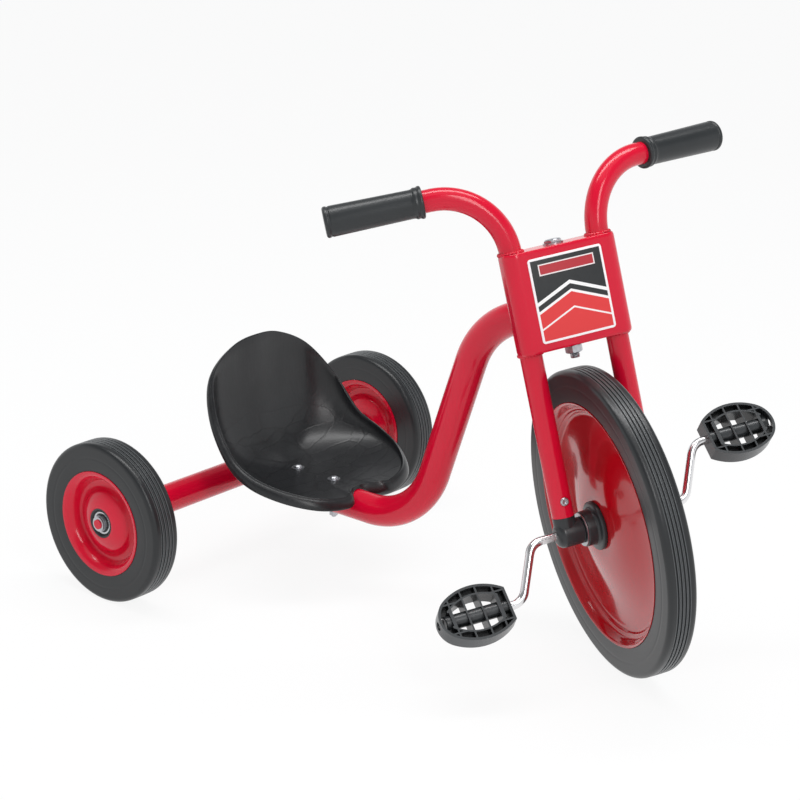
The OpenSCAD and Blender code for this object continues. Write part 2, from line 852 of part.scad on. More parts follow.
module hub_boss(side) {
    low = front_web_face + seat_fit;
    color("dimgray") on_front_axle(side) translate([0, 0, low]) difference() {
        union() {
            cylinder(d = boss_flange_d, h = boss_flange_t);
            cylinder(d = boss_d, h = boss_face - low);
        }
        translate([0, 0, -overrun]) cylinder(d = crank_d + 2 * seat_fit, h = boss_face + 2 * overrun);
    }
}

module hub_boss_left() {
    hub_boss(1);
}

module hub_boss_right() {
    hub_boss(-1);
}

module pin_line(d, l) {
    on_fork() rotate([0, crank_angle + 90, 0]) translate([0, 0, -l / 2]) cylinder(d = d, h = l);
}

module hub_sleeve() {
    color("silver") difference() {
        on_front_axle(1) translate([0, 0, -front_web_face])
            ring(hub_sleeve_d, crank_d + 2 * seat_fit, 2 * front_web_face);
        pin_line(drive_pin_d + 2 * seat_fit, 2 * hub_sleeve_d);
    }
}

module drive_pin() {
    color("silver") pin_line(drive_pin_d, hub_sleeve_d + drive_pin_d);
}

sleeve_l = pedal_l - pedal_recess;
arm_out = crank_plane + arm_splay;
spindle_end = pedal_in + sleeve_l + part_gap + spindle_ring_t + spindle_tail;
crank_points = [
    [-spindle_end, crank_r], [-arm_out, crank_r], [-crank_plane, 0],
    [crank_plane, 0], [arm_out, -crank_r], [spindle_end, -crank_r]
];

module crank_axle() {
    color("silver") difference() {
        on_fork() rotate([0, crank_angle, 0]) rotate([90, 0, 90])
            bent_rod(crank_points, crank_bend_r, crank_rod_r);
        pin_line(drive_pin_d + 2 * seat_fit, 2 * hub_sleeve_d);
    }
}

module thrust_washers() {
    color("silver") for (side = [-1, 1]) on_front_axle(side) translate([0, 0, boss_face + part_gap])
        ring(thrust_washer_d, crank_d + 2 * seat_fit, thrust_washer_t);
}

// Pedals, with X outwards along the spindle and Z through the thickness
pedal_middle = pedal_l * pedal_wide_share;
pedal_reach = pedal_l - pedal_middle - pedal_end_r;
pedal_bulge = pedal_w / 2 - pedal_end_r;
side_centre = (pedal_reach * pedal_reach - pedal_bulge * pedal_bulge) / (2 * pedal_bulge);
side_r = pedal_w / 2 + side_centre;
oval_join = pedal_middle + pedal_reach * (1 + pedal_end_r / (side_r - pedal_end_r));
sleeve_d = crank_d + 2 * sleeve_wall;

// The pedal's outline, moved inwards: a flat inner edge, bowed sides and a round outer end
module pedal_oval(inset, h) {
    translate([0, 0, -h / 2]) {
        intersection() {
            oval_side(inset, h, 1);
            oval_side(inset, h, -1);
            translate([inset, -pedal_w, 0]) cube([oval_join - inset, 2 * pedal_w, h]);
        }
        translate([pedal_middle + pedal_reach, 0, 0]) cylinder(r = pedal_end_r - inset, h = h);
    }
}

module oval_side(inset, h, side) {
    translate([pedal_middle, -side * side_centre, 0]) cylinder(r = side_r - inset, h = h, $fn = 128);
}

module pedal_ribs(h) {
    for (share = rib_shares)
        translate([pedal_l * share - pedal_rib / 2, -pedal_w, -h / 2]) cube([pedal_rib, 2 * pedal_w, h]);
    for (side = [-1, 1])
        translate([0, side * pedal_w * rib_side_share - pedal_rib / 2, -h / 2]) cube([pedal_l, pedal_rib, h]);
}

module pedal_windows(h) {
    for (i = [0:len(rib_shares) - 2]) {
        from = pedal_l * rib_shares[i] + pedal_rib / 2;
        to = pedal_l * rib_shares[i + 1] - pedal_rib / 2;
        translate([from, -pedal_w / 2, -h / 2]) cube([to - from, pedal_w, h]);
    }
}

module pedal_form() {
    through = pedal_t + overrun;
    inner = pedal_wall + pedal_channel;
    difference() {
        union() {
            difference() {
                pedal_oval(0, pedal_t);
                for (face = [-1, 1]) translate([0, 0, face * pedal_t / 2]) difference() {
                    pedal_oval(pedal_wall, 2 * pedal_pocket);
                    pedal_oval(inner, 2 * pedal_pocket + overrun);
                    pedal_ribs(2 * pedal_pocket + overrun);
                }
                intersection() {
                    pedal_oval(inner + pedal_rib, through);
                    pedal_windows(through);
                }
            }
            translate([pedal_wall, 0, 0]) rotate([0, 90, 0])
                cylinder(d = sleeve_d, h = sleeve_l - pedal_wall);
        }
        translate([sleeve_l, -spindle_ring_d / 2 - part_gap, -through / 2])
            cube([pedal_recess - 2 * pedal_wall, spindle_ring_d + 2 * part_gap, through]);
        translate([-overrun, 0, 0]) rotate([0, 90, 0])
            cylinder(d = crank_d + 2 * run_fit, h = sleeve_l + 2 * overrun - pedal_recess);
    }
}

module pedal(side) {
    color("dimgray") on_spindle(side) translate([0, side * pedal_in, 0]) rotate([0, 0, 90 * side])
        pedal_form();
}

module pedal_left() {
    pedal(1);
}

module pedal_right() {
    pedal(-1);
}

module spindle_rings() {
    color("silver") for (side = [-1, 1]) on_spindle(side) rotate([-90 * side, 0, 0])
        translate([0, 0, pedal_in + sleeve_l + part_gap])
            ring(spindle_ring_d, crank_d + 2 * seat_fit, spindle_ring_t);
}

// Rear wheels
module rear_tyre(side) {
    color("darkslategray") on_rear_axle(side) tyre(rear_r, rear_half, rear_seat_r, rear_flare);
}

module rear_disc(side, face) {
    color("crimson") on_rear_axle(side) rotate([face > 0 ? 0 : 180, 0, 0]) disc(rear_line);
}

module rear_hub(side) {
    color("dimgray") on_rear_axle(side) translate([0, 0, -hub_face])
        ring(rear_hub_d, rear_bearing_d + 2 * seat_fit, 2 * hub_face);
}

module rear_bearings(side) {
    color("silver") on_rear_axle(side) for (face = [-1, 1])
        translate([0, 0, face * (hub_face - rear_bearing_w / 2) - rear_bearing_w / 2])
            ring(rear_bearing_d, axle_d + 2 * run_fit, rear_bearing_w);
}

module rear_tyre_left() {
    rear_tyre(1);
}

module rear_tyre_right() {
    rear_tyre(-1);
}

module rear_outer_disc_left() {
    rear_disc(1, 1);
}

module rear_outer_disc_right() {
    rear_disc(-1, 1);
}

module rear_inner_disc_left() {
    rear_disc(1, -1);
}

module rear_inner_disc_right() {
    rear_disc(-1, -1);
}

module rear_hub_left() {
    rear_hub(1);
}

module rear_hub_right() {
    rear_hub(-1);
}

module rear_bearings_left() {
    rear_bearings(1);
}

module rear_bearings_right() {
    rear_bearings(-1);
}

main_tube();
rear_cross_tube();
head_tube();
head_bush_upper();
head_bush_lower();
seat();
seat_bolts();
seat_washers();
seat_nuts();
rear_axle();
axle_plugs();
axle_washers();
axle_rings();
fork_tube_left();
fork_tube_right();
head_bracket();
front_plate();
grip_left();
grip_right();
kingpin_bolt();
kingpin_washers();
kingpin_nut();
bearing_block_left();
bearing_block_right();
block_screws();
front_tyre();
front_disc_left();
front_disc_right();
hub_boss_left();
hub_boss_right();
hub_sleeve();
drive_pin();
crank_axle();
thrust_washers();
spindle_rings();
pedal_left();
pedal_right();
rear_tyre_left();
rear_outer_disc_left();
rear_inner_disc_left();
rear_hub_left();
rear_bearings_left();
rear_tyre_right();
rear_outer_disc_right();
rear_inner_disc_right();
rear_hub_right();
rear_bearings_right();
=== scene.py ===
# %% [markdown]
# # Low rider tricycle
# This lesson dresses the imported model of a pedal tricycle. The tubes, the crank and the
# pedals come from the solid model and keep its shape. Pieces whose surface needs more than a
# plain solid can show, such as the scoop seat, the tyres, the pressed wheel discs, the folded
# head bracket and the welds, are worked out again here as smooth surfaces.

# %% Load the solid model
import json

import bmesh
import bpy
import numpy as np
from mathutils import Matrix, Vector


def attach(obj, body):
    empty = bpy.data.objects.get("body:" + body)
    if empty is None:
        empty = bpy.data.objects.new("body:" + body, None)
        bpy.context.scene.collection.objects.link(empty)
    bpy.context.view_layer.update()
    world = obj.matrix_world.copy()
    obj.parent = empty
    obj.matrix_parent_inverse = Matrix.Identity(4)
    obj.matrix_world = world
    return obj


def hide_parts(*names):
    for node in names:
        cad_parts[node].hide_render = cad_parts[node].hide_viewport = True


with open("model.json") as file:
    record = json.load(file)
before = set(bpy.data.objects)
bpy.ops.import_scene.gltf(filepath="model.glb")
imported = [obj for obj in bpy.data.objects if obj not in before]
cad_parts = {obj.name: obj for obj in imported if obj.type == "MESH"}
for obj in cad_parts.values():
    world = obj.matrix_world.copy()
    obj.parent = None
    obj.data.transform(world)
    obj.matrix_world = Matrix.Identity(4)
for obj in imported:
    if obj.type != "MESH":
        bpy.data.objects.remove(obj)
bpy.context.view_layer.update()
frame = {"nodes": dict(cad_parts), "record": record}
nodes = frame["nodes"]

# %% [markdown]
# ## The photograph's view
# The camera was solved from the picture: the ellipses of the three tyres and the length of
# the fork give its place, its direction and its focal length. A camera looks along its own
# -Z, so its matrix is built from the directions right, up and back.

# %% Camera
camera_at = (1.51455, -1.86219, 1.07112)
yaw, pitch, roll = np.radians([130.18, -18.59, 0.60])
view_ahead = np.array([np.cos(yaw) * np.cos(pitch), np.sin(yaw) * np.cos(pitch), np.sin(pitch)])
level = np.cross(view_ahead, [0.0, 0.0, 1.0])
level /= np.linalg.norm(level)
upright = np.cross(level, view_ahead)
view_right = np.cos(roll) * level + np.sin(roll) * upright
view_up = np.cos(roll) * upright - np.sin(roll) * level

lens = bpy.data.cameras.new("photo_view")
lens.lens, lens.sensor_width, lens.clip_end = 96.5, 36.0, 100.0
camera = bpy.data.objects.new("photo_view", lens)
bpy.context.scene.collection.objects.link(camera)
facing = Matrix([[view_right[i], view_up[i], -view_ahead[i]] for i in range(3)]).to_4x4()
camera.matrix_world = Matrix.Translation(camera_at) @ facing
bpy.context.scene.camera = camera
print("camera at", camera_at, "with a lens of", round(lens.lens, 1), "mm")

# %% [markdown]
# ## Writing shaders as sums
# A finish is a small graph of nodes, and much of it is sums. They could be built node by node,
# but then the sum can't be read. `Value` wraps a socket instead, so that `1 - mask * 0.3` adds
# its Math nodes by itself.

# %% Socket values
class Value:
    """A socket of one graph. Operators on it add Math nodes."""

    def __init__(self, graph, socket):
        self.graph = graph
        self.socket = socket

    def beside(self, output):
        """Another output of the same node."""
        return Value(self.graph, self.socket.node.outputs[output])

    def maths(self, operation, first, second=0.0):
        """What a Math node makes of two values."""
        return self.graph.node("ShaderNodeMath", {"operation": operation}, {0: first, 1: second})

    def __add__(self, other):
        return self.maths("ADD", self, other)

    def __sub__(self, other):
        return self.maths("SUBTRACT", self, other)

    def __rsub__(self, other):
        return self.maths("SUBTRACT", other, self)

    def __mul__(self, other):
        return self.maths("MULTIPLY", self, other)

    def above(self, edge):
        return self.maths("GREATER_THAN", self, edge)

    def below(self, edge):
        return self.maths("LESS_THAN", self, edge)

    def size(self):
        return self.maths("ABSOLUTE", self)

    def most(self, other):
        return self.maths("MAXIMUM", self, other)

    def least(self, other):
        return self.maths("MINIMUM", self, other)

    __radd__, __rmul__ = __add__, __mul__


# %% [markdown]
# ## Growing a graph
# Any other node is made in one way: its type, its settings, and then its sockets, each with a
# link or a plain value. Two short forms follow for the kinds that come up most, vector sums
# and ranges.

# %% Node graphs
class Graph:
    """A node tree that grows by node() calls."""

    def __init__(self, tree):
        self.tree = tree

    def put(self, socket, value):
        """Links a Value to a socket, or writes a number, vector or colour on it."""
        if isinstance(value, Value):
            self.tree.links.new(value.socket, socket)
        else:
            socket.default_value = value

    def node(self, kind, settings=None, inputs=None, output=0):
        """A new node, as the Value of one of its outputs."""
        made = self.tree.nodes.new(kind)
        for key, value in (settings or {}).items():
            setattr(made, key, value)
        for key, value in (inputs or {}).items():
            self.put(made.inputs[key], value)
        return Value(self, made.outputs[output])

    def vector(self, operation, first, second):
        """What a Vector Math node makes of two vectors."""
        return self.node("ShaderNodeVectorMath", {"operation": operation}, {0: first, 1: second})

    def span(self, value, edges, results, **settings):
        """The first result up to the first edge, the second from the second edge, a slope between."""
        inputs = {"Value": value, "From Min": edges[0], "From Max": edges[1]}
        inputs |= {"To Min": results[0], "To Max": results[1]}
        return self.node("ShaderNodeMapRange", settings, inputs)


# %% [markdown]
# ## A finish
# Each finish is a material with one Principled shader. What is the same all over the surface
# is written on the shader's own sockets, and what changes is linked to them. Patterns read
# Object coordinates: metres in the tricycle's own frame, so they stay on the piece when it moves.

# %% Finishes
class Finish(Graph):
    """A material with one Principled shader, whose constants are named with _ for a space."""

    def __init__(self, name, **constants):
        self.material = bpy.data.materials.new(name)
        self.material.use_nodes = True
        super().__init__(self.material.node_tree)
        self.shader = self.tree.nodes["Principled BSDF"]
        self.wear(**constants)

    def wear(self, **values):
        """Writes or links sockets of the shader, and gives back the material."""
        for socket, value in values.items():
            self.put(self.shader.inputs[socket.replace("_", " ")], value)
        return self.material

    def place(self, stretch=(1.0, 1.0, 1.0)):
        """The point on the piece in metres, with each axis multiplied by a number."""
        return self.vector("MULTIPLY", self.node("ShaderNodeTexCoord", output="Object"), stretch)

    def noise(self, scale, detail=3.0, stretch=(1.0, 1.0, 1.0)):
        """A cloudy value from 0 to 1 with about so many clouds to the metre."""
        inputs = {"Vector": self.place(stretch), "Scale": scale, "Detail": detail}
        return self.node("ShaderNodeTexNoise", None, inputs)

    def painted(self):
        """The number that the mesh carries in its own UV map, as the first of a pair."""
        pair = self.node("ShaderNodeUVMap", {"uv_map": "pattern"})
        return self.node("ShaderNodeSeparateXYZ", None, {0: pair})

    def blend(self, share, first, second):
        """A colour that goes from the first to the second as share goes from 0 to 1."""
        colours = {"Factor": share, 6: first, 7: second}
        return self.node("ShaderNodeMix", {"data_type": "RGBA"}, colours, output=2)

    def relief(self, height, depth, strength=0.5):
        """A bump: the surface seems to rise by the depth, in metres, where the height is 1."""
        inputs = {"Height": height, "Distance": depth, "Strength": strength}
        return self.node("ShaderNodeBump", None, inputs)


def rgb(red, green, blue):
    """A colour in screen values from 0 to 255, as the linear colour that a shader takes.

    A share of full brightness is moved by 0.055 and raised to the power 2.4. Below 0.04045 it
    is divided by 12.92.
    """
    share = np.array([red, green, blue]) / 255.0
    linear = np.where(share <= 0.04045, share / 12.92, ((share + 0.055) / 1.055) ** 2.4)
    return (*linear.tolist(), 1.0)


print("middle grey 128 is", round(rgb(128, 128, 128)[0], 3), "in linear light")

# %% [markdown]
# ## Paint
# The frame is powder coated in a clear bright red, and the large front wheel in a deeper
# one. Powder coat flows out glossy but keeps a faint orange peel about a millimetre across.
# One flat red would look like plastic, so a fine noise feeds the bump, and a broad noise
# shifts the colour a little.

# %% Red paints
def paint(name, deep, bright, rough, gloss):
    """A red that drifts from deep to bright, under a clear coat with orange peel."""
    coat = Finish(name, Coat_Weight=gloss, Coat_Roughness=0.03, IOR=1.38)
    drift = coat.noise(9.0, detail=2.0)
    peel = coat.noise(700.0, detail=2.0)
    return coat.wear(
        Base_Color=coat.blend(drift, deep, bright),
        Roughness=rough + peel * 0.08,
        Normal=coat.relief(peel, depth=0.00001, strength=0.06),
    )


frame_red = paint("frame_red_paint", rgb(202, 4, 41), rgb(216, 9, 51), rough=0.16, gloss=0.2)
wheel_red = paint("wheel_red_paint", rgb(168, 8, 20), rgb(184, 12, 26), rough=0.10, gloss=0.45)
print("paints:", frame_red.name, wheel_red.name)

# %% [markdown]
# ## Rubber and moulded plastic
# Grips and hub parts are all black, yet they differ in how they shine. The grips are a soft
# grey-black with a fine mould grain, and the hub parts a satin plastic. Both are a cloudy
# tone under a grain that changes the gloss and the relief together.

# %% Rubber and plastic
plastic_ior = 1.46


def clouded(stuff, dark, pale):
    """A tone that drifts from dark to pale in clouds about 4 cm across."""
    return stuff.blend(stuff.noise(26.0, detail=4.0), dark, pale)


def moulded(stuff, tone, rough, grain, depth, swing=0.12):
    """A tone with so many grains to the metre, which add up to swing to the roughness."""
    skin = stuff.noise(grain)
    return stuff.wear(Base_Color=tone, Roughness=rough + skin * swing, Normal=stuff.relief(skin, depth))


grip = Finish("grip_rubber", IOR=plastic_ior)
grip_tone = clouded(grip, rgb(34, 37, 39), rgb(42, 45, 47))
grip_rubber = moulded(grip, grip_tone, rough=0.28, grain=900.0, depth=0.00008)

satin = Finish("black_plastic", IOR=plastic_ior)
satin_tone = clouded(satin, rgb(36, 38, 40), rgb(46, 48, 50))
black_plastic = moulded(satin, satin_tone, rough=0.24, grain=700.0, depth=0.00005)
print("blacks:", grip_rubber.name, black_plastic.name)

# %% [markdown]
# ## Tyres and pedals
# Two blacks need more than one tone. The lips of a tyre's grooves get a pale painted highlight, and the tyre
# mesh carries its share in its UV map. The pedals get painted shade down in their pockets and a paler
# painted highlight on the ribs, so an Ambient Occlusion node, which tells how closed in a point is, mixes
# the two.

# %% Tyre rubber and pedal plastic
rubber = Finish("tyre_rubber", IOR=plastic_ior)
base_rubber_tone = clouded(rubber, rgb(28, 30, 32), rgb(37, 39, 41))
# Painted highlight: the lips of the grooves are blended towards a pale grey.
lip_highlight_tone = rubber.blend(rubber.painted(), base_rubber_tone, rgb(100, 103, 105))
tyre_rubber = moulded(rubber, lip_highlight_tone, rough=0.27, grain=700.0, depth=0.00008)

ribbed = Finish("pedal_plastic", IOR=plastic_ior)
near_only = {"samples": 8, "only_local": True}
openness = ribbed.node("ShaderNodeAmbientOcclusion", near_only, {"Distance": 0.012}, "AO")
# Painted shade in the pockets and a painted highlight on the ribs, mixed by how open each point is.
shade_and_highlight_tone = ribbed.blend(openness * openness, rgb(15, 16, 17), rgb(60, 63, 65))
pedal_plastic = moulded(ribbed, shade_and_highlight_tone, rough=0.2, grain=700.0, depth=0.00004, swing=0.1)
print("two-tone blacks:", tyre_rubber.name, pedal_plastic.name)

# %% [markdown]
# ## Bright metal
# The crank is a chromed rod, which is almost a mirror with faint polishing haze. Bolts, washers and rings
# are zinc plated: greyer, rougher and slightly mottled. The washers that turn get a darker steel as painted
# shade.

# %% Metals
def metal(name, dark, pale, rough, swing, scale):
    """A metal whose haze, at so many clouds to the metre, moves its tone and its roughness."""
    plating = Finish(name, Metallic=1.0)
    haze = plating.noise(scale, detail=4.0)
    return plating.wear(Base_Color=plating.blend(haze, dark, pale), Roughness=rough + haze * swing)


polished = {"rough": 0.14, "swing": 0.10, "scale": 60.0}
plated = {"rough": 0.24, "swing": 0.20, "scale": 240.0}
crank_chrome = metal("crank_chrome", rgb(222, 221, 222), rgb(240, 239, 240), **polished)
steel_hardware = metal("steel_hardware", rgb(164, 165, 169), rgb(206, 207, 212), **plated)
# Painted shade: a darker steel for the washers that turn.
shaded_steel = metal("shaded_steel", rgb(160, 161, 164), rgb(190, 191, 195), **plated)
print("metals:", crank_chrome.name, steel_hardware.name, shaded_steel.name)

# %% [markdown]
# ## Dressing the solid pieces
# The record gives each solid piece a material slot, as a parts list does. One table turns the slot into a
# finish. The pedals and the washers then get a finish of their own, which holds painted shade.

# %% Dress the solid pieces
finish_of = {
    "frame_red": frame_red, "wheel_red": wheel_red, "tyre_rubber": tyre_rubber,
    "black_plastic": black_plastic, "grip_rubber": grip_rubber, "crank_chrome": crank_chrome,
    "plate_print": steel_hardware, "steel_hardware": steel_hardware,
}
for row in frame["record"]["subparts"]:
    mesh = nodes[row["node"]].data
    mesh.materials.clear()
    mesh.materials.append(finish_of[row["material_slot"]])
for name in ("pedal_left", "pedal_right"):
    nodes[name].data.materials[0] = pedal_plastic
# The washers take the darker steel, which is painted shade.
for name in ("thrust_washers", "kingpin_washers"):
    nodes[name].data.materials[0] = shaded_steel

# %% [markdown]
# ## Where things are
# The fork is turned to the right in the stored pose, so what sits on it is worked out in the
# fork's own frame: ahead, left along the axle, and up along the steering pivot. A wheel's
# frame has its Z along the axle, outwards. Lengths are in millimetres, as on a drawing.

# %% Places
def axes(origin, across, along):
    """A frame as its origin and three directions: X across, Z along, Y their cross product."""
    across, along = np.array(across, float), np.array(along, float)
    return np.array(origin, float), np.array([across, np.cross(along, across), along])


fork_ahead = np.array([0.831639, -0.5, 0.241613])
axle_left = np.array([0.480147, 0.866025, 0.139496])
steer_up = np.array([-0.278991, 0.0, 0.960294])
hub_centre = np.array([252.214, -1.75, 177.655])
pin_foot = np.array([249.303, 0.0, 176.809])
rear_x, rear_z = -314.197, 100.0
half_track, half_fork = 239.0, 52.7

hands = ((1, "left"), (-1, "right"))
row_place = (np.zeros(3), np.eye(3))
fork_place = (hub_centre, np.array([fork_ahead, axle_left, steer_up]))
pin_place = (pin_foot, fork_place[1])
front_side, rear_side, leg_foot = {}, {}, {}
for side, _ in hands:
    front_side[side] = axes(hub_centre, fork_ahead, side * axle_left)
    rear_side[side] = axes((rear_x, side * half_track, rear_z), (1, 0, 0), (0, side, 0))
    leg_foot[side] = hub_centre + side * half_fork * axle_left
print("wheelbase", round(hub_centre[0] - rear_x, 1), "mm, fork tubes", 2 * half_fork, "mm apart")

# %% [markdown]
# ## From a grid of points to a piece
# Every new piece is a grid of points in one of those frames. One helper carries the grid
# into the tricycle's frame, joins neighbouring points to quads, turns the faces outwards by
# the sign of the volume that they enclose, and hands the piece to the body that it rides on.

# %% Mesh helper
def outward_faces(points, count, across, ring, loop):
    """Quads between the neighbours of a grid, with a flat face at each end if it isn't a ring.

    The volume is a sum over triangles of corner a dotted with the cross product of the other
    two. If it is negative, the faces look inwards and are reversed.
    """
    u = np.arange(count if ring else count - 1)[:, None]
    v = np.arange(across if loop else across - 1)[None, :]
    u2, v2 = (u + 1) % count, (v + 1) % across
    corners = [u * across + v, u2 * across + v, u2 * across + v2, u * across + v2]
    quads = np.stack(corners, -1).reshape(-1, 4)
    a, b, c, d = (points[quads[:, k]] - points.mean(0) for k in range(4))
    volume = (a * np.cross(b, c)).sum() + (a * np.cross(c, d)).sum()
    faces = quads.tolist()
    if not ring:
        last = (count - 1) * across
        faces += [list(range(across)), list(range(last, last + across))[::-1]]
    return [face[::-1] for face in faces] if volume < 0 else faces


def piece(name, grid, place, body, finish, node=None, ring=True, loop=True, sharp=40, uv=None):
    """A mesh from grid[u, v, xyz] in mm, which may stand for a solid node.

    ring closes it in u and loop in v. Edges bent by more than sharp degrees stay crisp. uv
    gives a pair of numbers for each point, which the finish reads from the map "pattern".
    """
    origin, directions = place
    points = (origin + grid.reshape(-1, 3) @ directions) / 1000.0
    mesh = bpy.data.meshes.new(name)
    mesh.from_pydata(points.tolist(), [], outward_faces(points, *grid.shape[:2], ring, loop))
    if uv is not None:
        at_corner = np.empty(len(mesh.loops), np.int32)
        mesh.loops.foreach_get("vertex_index", at_corner)
        layer = mesh.uv_layers.new(name="pattern")
        layer.data.foreach_set("uv", uv.reshape(-1, 2)[at_corner].ravel())
    work = bmesh.new()
    work.from_mesh(mesh)
    bmesh.ops.remove_doubles(work, verts=work.verts, dist=1e-6)
    bmesh.ops.dissolve_degenerate(work, edges=work.edges, dist=1e-7)
    work.to_mesh(mesh)
    work.free()
    mesh.shade_smooth()
    mesh.set_sharp_from_angle(angle=np.radians(sharp))
    mesh.materials.append(finish)
    made = bpy.data.objects.new(name, mesh)
    bpy.context.scene.collection.objects.link(made)
    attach(made, body)
    if node:
        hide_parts(node)
    print(name, len(mesh.polygons), "faces")


# %% [markdown]
# ## Tyre profile
# A solid tyre is a lathe shape: a profile of radius and height that goes once round the axle.
# Its tread is nearly flat with four grooves, each a flat-bottomed bell curve taken out of the
# radius. A quarter circle makes the shoulder, and the side wall leans in towards the rim with
# one faint moulded ring. A bump could draw the grooves, but they show in the outline.

# %% Tyre profile
def turned(profile, steps):
    """A lathe surface: each [radius, height] of the profile goes round the Z axis in steps."""
    profile = np.array(profile, float)
    angle = np.linspace(0.0, 2.0 * np.pi, steps, endpoint=False)[:, None]
    radius, height = profile[:, 0][None, :], profile[:, 1][None, :]
    return np.stack([radius * np.cos(angle), radius * np.sin(angle), height + 0.0 * angle], -1)


def tyre_profile(radius, half, lip, grooves):
    """[radius, across] from one rim lip over the tread to the other.

    The tread drops with the square of the way across, and in each groove by a bell curve of
    the sixth power. The wall leans in with the cube of the way down to the lip, less a narrow
    bell curve for the ring.
    """
    crown_drop, groove_depth, shoulder, wall_lean = 0.4, 1.8, 6.0, 0.9
    ring_depth, ring_at, ring_width = 0.28, 0.42, 0.03
    across = np.linspace(half - shoulder, shoulder - half, 161)
    cut = sum(np.exp(-((across - groove) ** 6)) for groove in grooves)
    tread = np.stack([radius - crown_drop * (across / half) ** 2 - groove_depth * cut, across], -1)
    wall_top = tread[0, 0] - shoulder
    bend = np.linspace(np.pi / 2, 0.0, 12)[:-1]
    round_off = np.stack([wall_top + shoulder * np.cos(bend), half - shoulder + shoulder * np.sin(bend)], -1)
    down = np.linspace(1.0, 0.0, 26)[:-1]
    ring_line = ring_depth * np.exp(-(((down - ring_at) / ring_width) ** 2))
    wall = np.stack([wall_top + (lip - wall_top) * down, half - wall_lean * down**3 - ring_line], -1)
    near = np.vstack([wall, round_off])
    return np.vstack([near, tread, near[::-1] * [1.0, -1.0]])


front_size, front_grooves = (177.8, 17.0, 142.1), (-6.6, -2.2, 2.2, 6.6)
rear_size, rear_grooves = (100.0, 19.0, 66.1), (-7.8, -2.6, 2.6, 7.8)
print("front tyre profile of", len(tyre_profile(*front_size, front_grooves)), "points")

# %% [markdown]
# ## Tyres
# Each point of a tyre also gets its share of a painted highlight on the lips of the grooves. It goes into
# the UV map, because it follows the tread all the way round.

# %% Tyres
def lip_highlight_share(profile, grooves, steps):
    """The share of painted highlight on a tyre: a narrow bell curve on both lips of each groove."""
    from_groove, width, lit_lip_depth = 1.35, 0.42, 1.2
    lips = np.concatenate([np.array(grooves) - from_groove, np.array(grooves) + from_groove])
    on_top = profile[:, 0] > profile[:, 0].max() - lit_lip_depth
    share = np.exp(-(((profile[:, 1, None] - lips) / width) ** 2)).sum(1) * on_top
    return np.tile(np.stack([share, 0 * share], -1), (steps, 1, 1))


def tyre(name, node, place, body, size, grooves, steps):
    """A tyre from its radius, half width and lip radius."""
    profile = tyre_profile(*size, grooves)
    piece(name, turned(profile, steps), place, body, tyre_rubber, node,
          uv=lip_highlight_share(profile, grooves, steps))


tyre("front_tyre_skin", "front_tyre", front_side[1], "front_wheel", front_size, front_grooves, 220)
for side, hand in hands:
    tyre(f"rear_tyre_skin_{hand}", f"rear_tyre_{hand}", rear_side[side], f"rear_wheel_{hand}",
         rear_size, rear_grooves, 160)

# %% [markdown]
# ## Smooth lines
# A pressed sheet has no corners: its section is a smooth curve through a few measured points.
# A Catmull-Rom curve passes through every point that it is given, which a Bezier or B-spline
# curve doesn't, so the measured radii are kept.

# %% Smooth lines
def smooth_line(points, steps, closed=False):
    """A Catmull-Rom curve through points, with so many steps to each span.

    A span is the cubic whose slope at each of its points is half the way between that point's
    neighbours.
    """
    p = np.array(points, float)
    if closed:
        before, start, end, after = np.roll(p, 1, 0), p, np.roll(p, -1, 0), np.roll(p, -2, 0)
    else:
        longer = np.vstack([2 * p[0] - p[1], p, 2 * p[-1] - p[-2]])
        before, start, end, after = longer[:-3], longer[1:-2], longer[2:-1], longer[3:]
    t = np.linspace(0.0, 1.0, steps, endpoint=False)[None, :, None]
    b, s, e, a = (x[:, None, :] for x in (before, start, end, after))
    square, cube = 2 * b - 5 * s + 4 * e - a, 3 * s - b - 3 * e + a
    line = (s + t * (e - b) / 2 + t**2 * square / 2 + t**3 * cube / 2).reshape(-1, p.shape[1])
    return line if closed else np.vstack([line, p[-1]])


# %% [markdown]
# ## Pressed discs
# Each wheel is two pressed steel discs that meet in a weld ring deep inside the rim. The
# front ones bulge smoothly to the hub, with a stepped ring inside a rolled lip. The rear
# ones rise from the weld ring to a domed middle that holds the hub. A disc is its outer line
# and the same line moved in by the sheet's thickness, turned round the axle.

# %% Wheel discs
sheet_thickness = 1.6


def sheet(line):
    """A closed profile: the line out, and back again moved by the thickness along its normal."""
    along = np.gradient(line, axis=0)
    normal = np.stack([along[:, 1], -along[:, 0]], -1)
    normal /= np.linalg.norm(normal, axis=1, keepdims=True)
    inner = line + sheet_thickness * normal
    inner[:, 0] = np.minimum(inner[:, 0], line[:, 0].max())
    return np.vstack([line, inner[::-1]])


def wave(start, end, steps):
    """A rise from one [radius, across] to another, level at both ends, as half a cosine."""
    t = np.linspace(0.0, 1.0, steps)
    rise = (1 - np.cos(np.pi * t)) / 2
    return np.stack([start[0] + (end[0] - start[0]) * t, start[1] + (end[1] - start[1]) * rise], -1)


